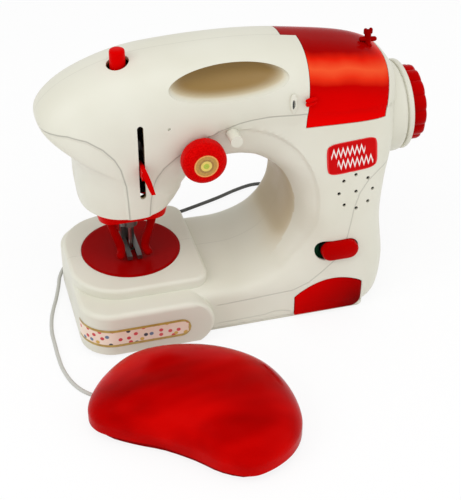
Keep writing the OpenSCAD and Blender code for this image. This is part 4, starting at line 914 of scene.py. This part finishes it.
PEDAL_AT = np.array([-54.0, -120.0])
PEDAL_TURN = math.radians(-27)
PEDAL_SPOTS = np.array([[-58, -14], [-56.5, 8], [-46, 29], [-26, 40], [3, 44], [31, 38], [50, 22], [61.5, -2],
                        [59, -24], [44, -42], [26, -43], [8, -36.5], [-12, -31.5], [-32, -30], [-50, -26.0]])
PEDAL_H, PEDAL_RIM, PEDAL_T, SKIRT_H = 33.0, 5.0, 2.0, 7.0
CROWN = np.array([8.0, 0.0])
# Keeps the spline's widest points inside the solid's box
PEDAL_FIT = 0.9995


def pedal_grid(inset, levels=44, around=220):
    """Dome over a mouse-shaped outline: a straight skirt, then outlines scaled by a power of the cosine
    while the height follows a power of the sine; the dome falls off to both ends."""
    outline = closed_spline_at(PEDAL_SPOTS, np.linspace(0, len(PEDAL_SPOTS), around, endpoint=False))
    t = np.linspace(0, 1, levels)
    scale = np.concatenate([[1.0], np.cos(t[:-1] * np.pi / 2) ** 0.75, [0.02]])
    base = SKIRT_H / PEDAL_H
    rise = np.concatenate([[0.0], base + (1 - base) * np.sin(t * np.pi / 2) ** 1.1])
    ring = CROWN + (scale * (PEDAL_FIT - inset / 44))[:, None, None] * (outline - CROWN)
    p, q = ring[..., 0], ring[..., 1]
    fall = 0.9 + 0.1 * np.cos(np.radians(1.5 * (p - CROWN[0])))
    z = PEDAL_RIM + (PEDAL_H - PEDAL_RIM - inset) * rise[:, None] * fall
    x = PEDAL_AT[0] + p * math.cos(PEDAL_TURN) - q * math.sin(PEDAL_TURN)
    y = PEDAL_AT[1] + p * math.sin(PEDAL_TURN) + q * math.cos(PEDAL_TURN)
    return np.stack([x, y, z], -1)


def pedal_skin():
    """Glossy red plastic with long soft streaks of deeper red along the pedal, laid by noise as painted
    reflections and shade of its gloss.
    """
    f = Finish("pedal_skin", **RED_SHEEN)
    # Painted reflection and shade: stretched noise lays dark and light streaks of red along the pedal
    streak = f.noise(1.0, 2.0, vector=f.stretched((13.0, 40.0, 40.0), -PEDAL_TURN))
    f.colour(f.ramp(streak, (0.30, (0.27, 0.0003, 0.0003)), (0.5, (0.41, 0.0004, 0.0004)),
                    (0.68, (0.54, 0.0015, 0.001))))
    f.roughness(f.span(f.noise(90.0, 3.0), 0.3, 0.7, 0.16, 0.26))
    f.bump((f.noise(140.0, 2.0), 0.05, 0.0006), (f.noise(2600.0, 2.0), 0.05, 0.00008))
    return f.material


def make_pedal():
    """Outer dome, rim and inner dome joined into one closed skin."""
    grid = np.concatenate([pedal_grid(PEDAL_T)[::-1], pedal_grid(0)])
    dress(smooth(solid("pedal_dome", grid), 50), "pedal", pedal_skin(), "pedal_top", slot="clear_red")


make_pedal()


# Turned and moulded controls

def rounded(r, h0, h1, edge, n=6):
    """Profile of a disc from h0 to h1 whose rims are quarter circles."""
    a = np.linspace(0, np.pi / 2, n)
    foot = np.column_stack([r - edge + edge * np.sin(a), h0 + edge - edge * np.cos(a)])
    head = np.column_stack([r - edge + edge * np.cos(a), h1 - edge + edge * np.sin(a)])
    return np.concatenate([[[0.02, h0]], foot, head, [[0.02, h1]]])


def make_hand_wheel():
    """Turned disc with a dished face and scallops round its rim."""
    x0, w, r = COLUMN_X + 19.6, 9.4, 23.0
    profile = [(0.02, 0), (18, 0), (r - 1.6, 0), (r - 0.5, 0.5), (r, 1.8), (r, w - 2.6), (r - 0.6, w - 1),
               (r - 2.2, w - 0.1), (r - 4, w), (r - 5, w - 0.6), (r - 7, w - 1.6), (8, w - 1.6), (7, w - 0.6),
               (0.02, w - 0.6)]

    def scallops(radius, angle):
        """Hollows between the fourteen lobes of the cosine's size, fading towards the hub."""
        return -1.3 * smoothstep(14, 21, radius) * (1 - np.abs(np.cos(7 * angle)) ** 0.7)

    wheel = turned("wheel", profile, (x0, 0, WHEEL_Z), "x", 14 * 24, scallops)
    dress(smooth(wheel, 40), "drive", tinted_red, "hand_wheel", slot="red_plastic")


def make_flange():
    """Stepped ring between the column and the hand wheel, hollow, with softened steps."""
    r, lip = FLANGE_R, 27.5
    profile = [(r - 3, 0), (r, 0), (r, 12.5), (r - 0.2, 14.2), (r - 0.5, 15.2), (r - 1, 16), (r - 1.7, 16.5),
               (lip - 1.6, 16.6), (lip - 1.6, 17.2), (lip - 0.6, 17.3), (lip - 0.1, 17.8), (lip, 18.6),
               (lip, 19.6), (lip - 0.4, 20.4), (lip - 1.2, 20.9), (lip - 2.4, 21), (5, 21), (5, 17),
               (lip - 4.6, 17), (lip - 4.6, 13.5), (r - 3, 13.5)]
    flange = turned("stepped_flange", profile, (FLANGE_X, 0, WHEEL_Z), "x", 144, ring=True)
    dress(smooth(flange, 30), "machine", ivory_trim, "wheel_flange", slot="white_plastic")


def speckled_red():
    """Red plastic with a fine stippled grain."""
    f = Finish("stippled_red", **RED_SHEEN)
    dots = f.noise(1100.0, 1.0)
    f.colour(f.ramp(dots, (0.35, (0.50, 0.0004, 0.0004)), (0.65, (0.66, 0.002, 0.002))))
    f.roughness(f.span(dots, 0.3, 0.7, 0.3, 0.5))
    f.bump((dots, 0.25, 0.0003))
    return f.material


def make_knob():
    """Turned knob with wide soft edges."""
    profile = rounded(KNOB_R, 0, KNOB_H, 4.6, 10)
    knob = turned("tension_dial", profile, (KNOB_X, KNOB_Y, KNOB_Z), "-y", 96)
    dress(smooth(knob, 50), "knob", speckled_red(), "tension_knob", slot="red_plastic")


def make_button():
    """Push button with a domed top on its flange."""
    foot, top, r = 158.0, 177.5, 4.5
    profile = [(0.02, foot), (r + 2.3, foot), (r + 2.3, foot + 2), (r, foot + 2), (r, top - 1.6),
               (r - 0.3, top - 0.7), (r - 1.1, top - 0.2), (r - 2.7, top), (0.02, top)]
    button = turned("head_button", profile, (BUTTON_X, BUTTON_Y, 0), "z", 48)
    dress(smooth(button, 40), "button", red, "push_button", slot="red_plastic")


def make_needle_plate():
    """Shallow dished disc with a rim and a needle hole."""
    hole_r, z = 2.5, PLATE_Z
    profile = [(hole_r, z + 0.1), (PLATE_R, z), (PLATE_R, z + 1.1), (PLATE_R - 0.6, z + 1.5),
               (PLATE_R - 2, z + 1.4), (24, z + 0.9), (10, z + 0.8), (hole_r, z + 0.8)]
    plate = turned("needle_dish", profile, (NEEDLE_X, 0, 0), "z", 96, ring=True)
    dress(smooth(plate, 40), "machine", deep_red, "needle_plate", slot="red_plastic")


def make_collar():
    """Flared block with round corners under the head, bored for the needle and presser bars."""
    outline = plan_ring(-20.5, 20.5, -19.0, 19.0, 8.0, 8.0)
    flare = {69.0: 0.965, 69.5: 0.99, 70.2: 1.0, 81.8: 1.1}
    rings = [outline * scale + np.array([NEEDLE_X, 0.0]) for scale in flare.values()]
    block = solid("head_collar", stacked(rings, flare.keys()))
    combine(block, "DIFFERENCE", rod_z("bore", NEEDLE_X, 0, 60, 90, 15.0))
    dress(smooth(block, 40), "machine", red, "collar", slot="red_plastic")


def make_guard():
    """Two bent round legs from the collar to just above the plate."""
    bend = np.array([[14.5, -8, 70], [11.5, -8, 59], [7.6, -8, 45.5], [8.5, -12, 41.6]])
    left, right = [tube("leg", [NEEDLE_X, 0, 0] + bend * [side, 1, 1], 2.55) for side in (-1, 1)]
    guard = combine(left, "UNION", right)
    guard.name = "finger_guard"
    dress(smooth(guard, 50), "machine", deep_red, "needle_guard", slot="red_plastic")


def drawer_red_painted_shade():
    """Tinted red plastic with painted light and shade: bright at the upper left, where the light falls, and
    painted darker towards the lower right.
    """
    f = Finish("drawer_red_painted_shade", roughness=0.22, **RED_SHEEN)
    x, _, z = f.axes()
    fall = f.math("SUBTRACT", x, f.math("MULTIPLY", z, 0.9))
    fall = f.math("ADD", fall, f.math("MULTIPLY", f.noise(70.0, 2.0), 0.012))
    # Painted shade: the ramp darkens the front from its lit upper left to its lower right
    f.colour(f.ramp(f.span(fall, 0.012, 0.070, 0.0, 1.0),
                    (0.1, (0.56, 0.0005, 0.0005)), (0.45, (0.42, 0.0004, 0.0004)),
                    (0.75, (0.30, 0.0003, 0.0003)), (0.95, (0.16, 0.0002, 0.0002))))
    f.bump((f.noise(60.0, 1.0), 0.05, 0.0006))
    return f.material


def make_drawer_front():
    """Arched front plate with a rounded rim, in layers of its outline drawn in towards its middle."""
    outline, middle = drawer_outline(0), np.array([49.0, 10.0])
    layers = [(0, -47.8), (0, -49.2), (0.5, -49.75), (1.4, -50.0)]
    face = layered("drawer_face", *[(middle + (outline - middle) * (1 - d / 18), y) for d, y in layers])
    dress(smooth(face, 30), "drawer", drawer_red_painted_shade(), "drawer_front", slot="clear_red")


def make_switch():
    """Rounded slider: layers of a slot shape drawn in towards the face, on a square stem."""
    ends, r = ((49.6, SWITCH_Z), (60.6, SWITCH_Z)), 6.0
    layers = [(0.0, -46.8), (0.0, -50.4), (0.5, -51.3), (1.6, -51.8)]
    slider = layered("slide_button", *[(slot_ring(ends, r - d), y) for d, y in layers])
    combine(slider, "UNION", box("stem", (53.1, -47.2, SWITCH_Z - 2), (57.1, -41.6, SWITCH_Z + 2)))
    dress(smooth(slider, 30), "slider", tinted_red, "switch_slider", slot="red_plastic")


def make_lever():
    """Take-up lever: a ring on the needle bar, an arm out through the slot and a flat tongue that swells on a
    half sine while it hangs down and aside."""
    lever = turned("take_up", [(5, 101), (5, 107)], (NEEDLE_X, 0, 0), "z", 40)
    combine(lever, "DIFFERENCE", rod_z("bore", NEEDLE_X, 0, 95, 110, 3.0, 40))
    side = np.array([[-3, 101], [-3, 107], [-34, 117], [-39, 117], [-39, 110], [-34, 110.0]])
    arm = solid("arm", np.stack([np.column_stack([np.full(6, LEVER_X + d), side]) for d in (-1.2, 1.2)]))
    t = np.linspace(0, 1, 24)[:, None]
    across, through = np.array([[-1, -1], [1, -1], [1, 1], [-1, 1.0]]).T
    x = LEVER_X + 4.6 * t ** 1.1 + across * (1.2 + 0.5 * np.sin(np.pi * t ** 0.8))
    y, z = np.broadcast_to(-40.0 + through, x.shape), np.broadcast_to(117 - 16.2 * t, x.shape)
    combine(lever, "UNION", arm, solid("tongue", np.stack([x, y, z], -1)))
    dress(smooth(lever, 30), "needle_unit", red, "take_up_lever", slot="red_plastic")


def make_spool():
    """Reel with thin flanges and a wound barrel whose turns show as fine rings."""
    foot, top, bore, barrel, rim, pitch = 129.1, 149.1, 3.05, 8.6, 10.0, 0.65
    z = np.linspace(foot + 2.2, top - 2.2, 160)
    wound = np.column_stack([barrel + 0.12 * np.sin(2 * np.pi * (z - z[0]) / pitch), z])
    profile = np.concatenate([[(bore, foot), (rim, foot), (rim, foot + 1.8), (barrel, foot + 2)], wound,
                              [(barrel, top - 2), (rim, top - 1.8), (rim, top), (bore, top)]])
    reel = turned("wound_reel", profile, (SPOOL_X, SPOOL_Y, 0), "z", 64, ring=True)
    thread = moulded("thread_orange", (0.70, 0.20, 0.02), (0.85, 0.32, 0.04), 0.6)
    dress(smooth(reel, 40), "spool", thread, "thread_spool", slot="thread_orange")


for make in (make_hand_wheel, make_flange, make_knob, make_button, make_needle_plate, make_collar, make_guard,
             make_drawer_front, make_switch, make_lever, make_spool):
    make()


# Solids that keep their shape and get a finish

KEPT = {
    ivory_trim: ["base_plate", "battery_door", "thread_post", "cover_ears", "drawer_tray"],
    tinted_red: ["cover_barrel", "pedal_lugs"],
    deep_red: ["pedal_base"],
    grey: ["motor_frame", "spool_tray", "spool_pin", "crank_disc", "machine_gland", "pedal_gland"],
    acetal: ["drive_gear", "motor_pinion"],
    black: ["head_frame", "switch_body", "speaker", "pedal_switch"],
    bright_steel: ["case_screws", "battery_contacts", "motor", "motor_shaft", "main_shaft", "needle_bar",
                   "needle", "presser_bar", "tension_spindle", "button_spring", "cover_pin", "pedal_pin",
                   "pedal_spring"],
    dark_steel: ["needle_clamp", "presser_foot"],
    brass: ["left_bush", "right_bush"],
    cell_jacket: ["batteries"],
    board_green: ["circuit_board"],
}
for finish, names in KEPT.items():
    for name in names:
        nodes[name].data.materials.clear()
        nodes[name].data.materials.append(finish)


# Printed labels

# How far a print stands off the skin below it
PRINT_LIFT = 0.18


def label_print():
    """Red print with a paler rim and two rows of pale stitches, each a triangle wave along the label."""
    f = Finish("stitched_label", **RED_SHEEN)
    u, v, _ = f.axes(f.uv())
    stitches = 0.0
    for middle, centre, half in ((0.68, 0.42, 0.34), (0.30, 0.56, 0.36)):
        wave = f.math("MULTIPLY", f.math("PINGPONG", f.math("MULTIPLY", u, 11.0), 0.5), 0.5)
        off = f.math("ABSOLUTE", f.math("SUBTRACT", f.math("SUBTRACT", v, wave), middle - 0.125))
        reach = f.span(f.math("ABSOLUTE", f.math("SUBTRACT", u, centre)), half - 0.01, half, 1.0, 0.0)
        row = f.math("MULTIPLY", f.span(off, 0.04, 0.07, 1.0, 0.0), reach)
        stitches = f.math("MAXIMUM", row, stitches)
    rim = f.span(f.math("MAXIMUM", f.off_middle(u), f.off_middle(v)), 0.93, 0.95, 0.0, 1.0)
    print_red = f.ramp(f.noise(160.0), (0.3, (0.52, 0.004, 0.005)), (0.7, (0.58, 0.007, 0.007)))
    f.colour(f.mix(rim, f.mix(stitches, print_red, (0.85, 0.82, 0.78)), (0.70, 0.05, 0.05)))
    f.roughness(f.span(f.noise(700.0), 0.3, 0.7, 0.26, 0.36))
    f.bump((stitches, 0.1, 0.0001))
    return f.material


def make_label():
    """Red tile on the column's skin: a leaning rectangle whose sides are drawn in towards its corners."""
    u, v = np.meshgrid(np.linspace(-1, 1, 40), np.linspace(-1, 1, 28), indexing="ij")
    mid_x, mid_z, half_w, half_h = 63.3, 106.0, 15.5, 9.5
    x = mid_x + half_w * u * (1 - np.abs(v) ** 5 * 0.06)
    z = mid_z + half_h * v * (1 - np.abs(u) ** 7 * 0.18) + 1.2 * u
    grid = np.stack([x, -skin_depth(x, z, -1) - PRINT_LIFT, z], -1)
    piece = patch("column_label", grid, np.stack([(u + 1) / 2, (v + 1) / 2], -1))
    dress(piece, "machine", label_print(), slot="red_plastic")


def strip_print():
    """Pale print with coloured dots at random cell points and a gold border."""
    f = Finish("printed_strip", coat_weight=0.2)
    dots = f.add("ShaderNodeTexVoronoi", feature="F1", voronoi_dimensions="2D")
    dots.inputs["Scale"].default_value = 1.0
    dots.inputs["Randomness"].default_value = 0.8
    f.link(f.stretched((14.0, 2.5, 1.0), vector=f.uv()), dots.inputs["Vector"])
    pick = f.add("ShaderNodeSeparateColor")
    f.link(dots.outputs["Color"], pick.inputs["Color"])
    inks = f.ramp(pick.outputs["Red"], (0.0, (0.55, 0.02, 0.03)), (0.3, (0.02, 0.02, 0.04)),
                  (0.5, (0.60, 0.05, 0.06)), (0.7, (0.10, 0.16, 0.26)), (0.85, (0.60, 0.36, 0.05)))
    inks.node.color_ramp.interpolation = "CONSTANT"
    spot = f.span(dots.outputs["Distance"], 0.21, 0.27, 1.0, 0.0)
    paper = f.ramp(f.noise(120.0), (0.3, (0.80, 0.62, 0.50)), (0.7, (0.84, 0.70, 0.58)))
    u, v, _ = f.axes(f.uv())
    sides, end = f.span(f.off_middle(v), 0.70, 0.75, 0.0, 1.0), f.span(u, 0.02, 0.026, 1.0, 0.0)
    gold = f.ramp(f.noise(300.0), (0.3, (0.36, 0.22, 0.03)), (0.7, (0.50, 0.34, 0.07)))
    f.colour(f.mix(f.math("MAXIMUM", sides, end), f.mix(spot, paper, inks), gold))
    f.roughness(f.span(f.noise(500.0), 0.3, 0.7, 0.3, 0.42))
    f.bump((spot, 0.08, 0.0001))
    return f.material


def make_strip():
    """Strip along the apron's straight front and on round the corner's arc, with one round end."""
    length, straight, low, high, start = 74.0, 44.0, 8.5, 21.0, -40.0
    u, v = np.meshgrid(np.linspace(0, 1, 120), np.linspace(0, 1, 14), indexing="ij")
    s = length * u
    corner, front = APRON["corner"], APRON["front"]
    r = corner + PRINT_LIFT
    angle = np.maximum(s - straight, 0) / corner
    x = np.where(s < straight, start - s, start - straight - r * np.sin(angle))
    y = np.where(s < straight, -front - PRINT_LIFT, corner - front - r * np.cos(angle))
    tuck = np.sqrt(np.maximum(1 - np.clip(1 - 2 * s / (high - low), 0, 1) ** 2, 0.0))
    z = (low + high) / 2 + (v - 0.5) * (high - low) * np.maximum(tuck, 0.02)
    piece = patch("bed_strip", np.stack([x, y, z], -1)[:, ::-1], np.stack([u, v], -1)[:, ::-1])
    dress(piece, "machine", strip_print(), slot="white_plastic")


def dial_print():
    """Coloured rings by the distance from the centre, under a faint speckle."""
    f = Finish("dial_print", coat_weight=0.3)
    rings = f.ramp(f.axes(f.uv())[0], (0.0, (0.30, 0.50, 0.02)), (0.24, (0.74, 0.62, 0.12)),
                   (0.46, (0.22, 0.10, 0.01)), (0.62, (0.38, 0.20, 0.02)), (0.88, (0.80, 0.30, 0.06)))
    rings.node.color_ramp.interpolation = "CONSTANT"
    speckle = f.ramp(f.noise(900.0), (0.3, (0.5, 0.2, 0.02)), (0.7, (0.8, 0.5, 0.1)))
    f.colour(f.mix(0.25, rings, speckle))
    f.roughness(f.span(f.noise(700.0), 0.3, 0.7, 0.25, 0.4))
    f.bump((f.noise(1500.0), 0.05, 0.0001))
    return f.material


def make_dial_face():
    """Disc on the knob's front, with its radius and angle as UV."""
    r, y = 7.0, KNOB_Y - KNOB_H - 0.12
    t, a = np.meshgrid(np.linspace(0.02, 1, 14), np.linspace(0, 2 * np.pi, 61), indexing="ij")
    grid = np.stack([KNOB_X + r * t * np.cos(a), np.full(t.shape, y), KNOB_Z + r * t * np.sin(a)], -1)
    piece = patch("dial_face", grid[:, ::-1], np.stack([t, a / (2 * np.pi)], -1)[:, ::-1])
    dress(piece, "knob", dial_print(), slot="red_plastic")


def make_thread_guide():
    """Small oval ring on the arm, standing just proud of the skin, with a black oval in it as painted shade
    for its slit.
    """
    x, z = 27.6, 143.7
    a = np.linspace(0, 2 * np.pi, 40, endpoint=False)
    skin_y = -float(skin_depth(np.array([x]), np.array([z]), -1)[0])

    def oval(name, centre_x, half_w, half_h, layers):
        """Ovals scaled about one centre, each set off from the skin."""
        spokes = np.column_stack([half_w * np.cos(a), half_h * np.sin(a)])
        return smooth(layered(name, *[([centre_x, z] + k * spokes, skin_y + dy) for k, dy in layers]), 40)

    ring_layers = [(1.0, 0.4), (1.0, -0.9), (0.82, -1.3), (0.42, -1.3), (0.36, -0.4)]
    ring = oval("thread_guide", x, 2.1, 6.0, ring_layers)
    dress(ring, "machine", ivory_trim, slot="white_plastic")
    # Painted shade: a black oval stands in the ring where the slit's shade falls
    shade_oval = oval("guide_slit_shade", x - 0.4, 0.55, 2.9, [(1.0, -0.3), (1.0, -1.32), (0.5, -1.36)])
    dress(shade_oval, "machine", black, slot="dark_plastic")


for make in (make_label, make_strip, make_dial_face, make_thread_guide):
    make()


# Floor and light

def make_floor():
    """Wide matt floor that the camera and mirrored rays see nearly white."""
    mesh = bpy.data.meshes.new("floor")
    half = 6.0
    corners = [(-half, -half, 0), (half, -half, 0), (half, half, 0), (-half, half, 0)]
    mesh.from_pydata(corners, [], [(0, 1, 2, 3)])
    f = Finish("pale_floor", roughness=0.9, specular_ior_level=0.0)
    f.colour(f.ramp(f.noise(3.0), (0.3, (0.90, 0.90, 0.90)), (0.7, (0.92, 0.92, 0.92))))
    glow = f.add("ShaderNodeEmission")
    ray = f.add("ShaderNodeLightPath").outputs
    mirrored = f.math("MAXIMUM", ray["Is Glossy Ray"], ray["Is Transmission Ray"])
    seen = f.math("MAXIMUM", ray["Is Camera Ray"], mirrored)
    blend = f.add("ShaderNodeMixShader")
    f.link(f.math("MULTIPLY", seen, 0.85), blend.inputs[0])
    f.link(f.shader.outputs[0], blend.inputs[1])
    f.link(glow.outputs[0], blend.inputs[2])
    f.link(blend.outputs[0], f.tree.nodes["Material Output"].inputs["Surface"])
    mesh.materials.append(f.material)
    placed("floor", mesh)


def light_sky(level, seen_level):
    """White surround at one level for light and another for the camera."""
    world = bpy.data.worlds.new("studio")
    bpy.context.scene.world = world
    world.use_nodes = True
    tree = world.node_tree
    sky = tree.nodes["Background"]
    sky.inputs["Color"].default_value = (1, 1, 1, 1)
    path = tree.nodes.new("ShaderNodeLightPath")
    strength = tree.nodes.new("ShaderNodeMapRange")
    strength.inputs["To Min"].default_value = level
    strength.inputs["To Max"].default_value = seen_level
    tree.links.new(path.outputs["Is Camera Ray"], strength.inputs["Value"])
    tree.links.new(strength.outputs["Result"], sky.inputs["Strength"])


def hang_lamp(name, place, size, power):
    """Square soft lamp, in metres and watts, that faces the middle of the machine."""
    data = bpy.data.lights.new(name, "AREA")
    data.size = size
    data.energy = power
    aim = np.array([0, -0.03, 0.08]) - np.array(place)
    aim /= np.linalg.norm(aim)
    side = np.cross(aim, [0, 0, 1])
    side /= np.linalg.norm(side)
    turn = np.eye(4)
    turn[:3, :3] = np.stack([side, np.cross(side, aim), -aim], axis=1)
    turn[:3, 3] = place
    placed(name, data).matrix_world = Matrix(turn.tolist())


make_floor()
light_sky(0.76, 1.0)
hang_lamp("key", (-0.95, -0.35, 0.75), 0.6, 2.8)
hang_lamp("fill", (0.9, -0.6, 0.6), 0.9, 2.0)
hang_lamp("top", (-0.1, -0.5, 1.2), 0.8, 3.4)
bpy.context.scene.view_settings.view_transform = "Standard"
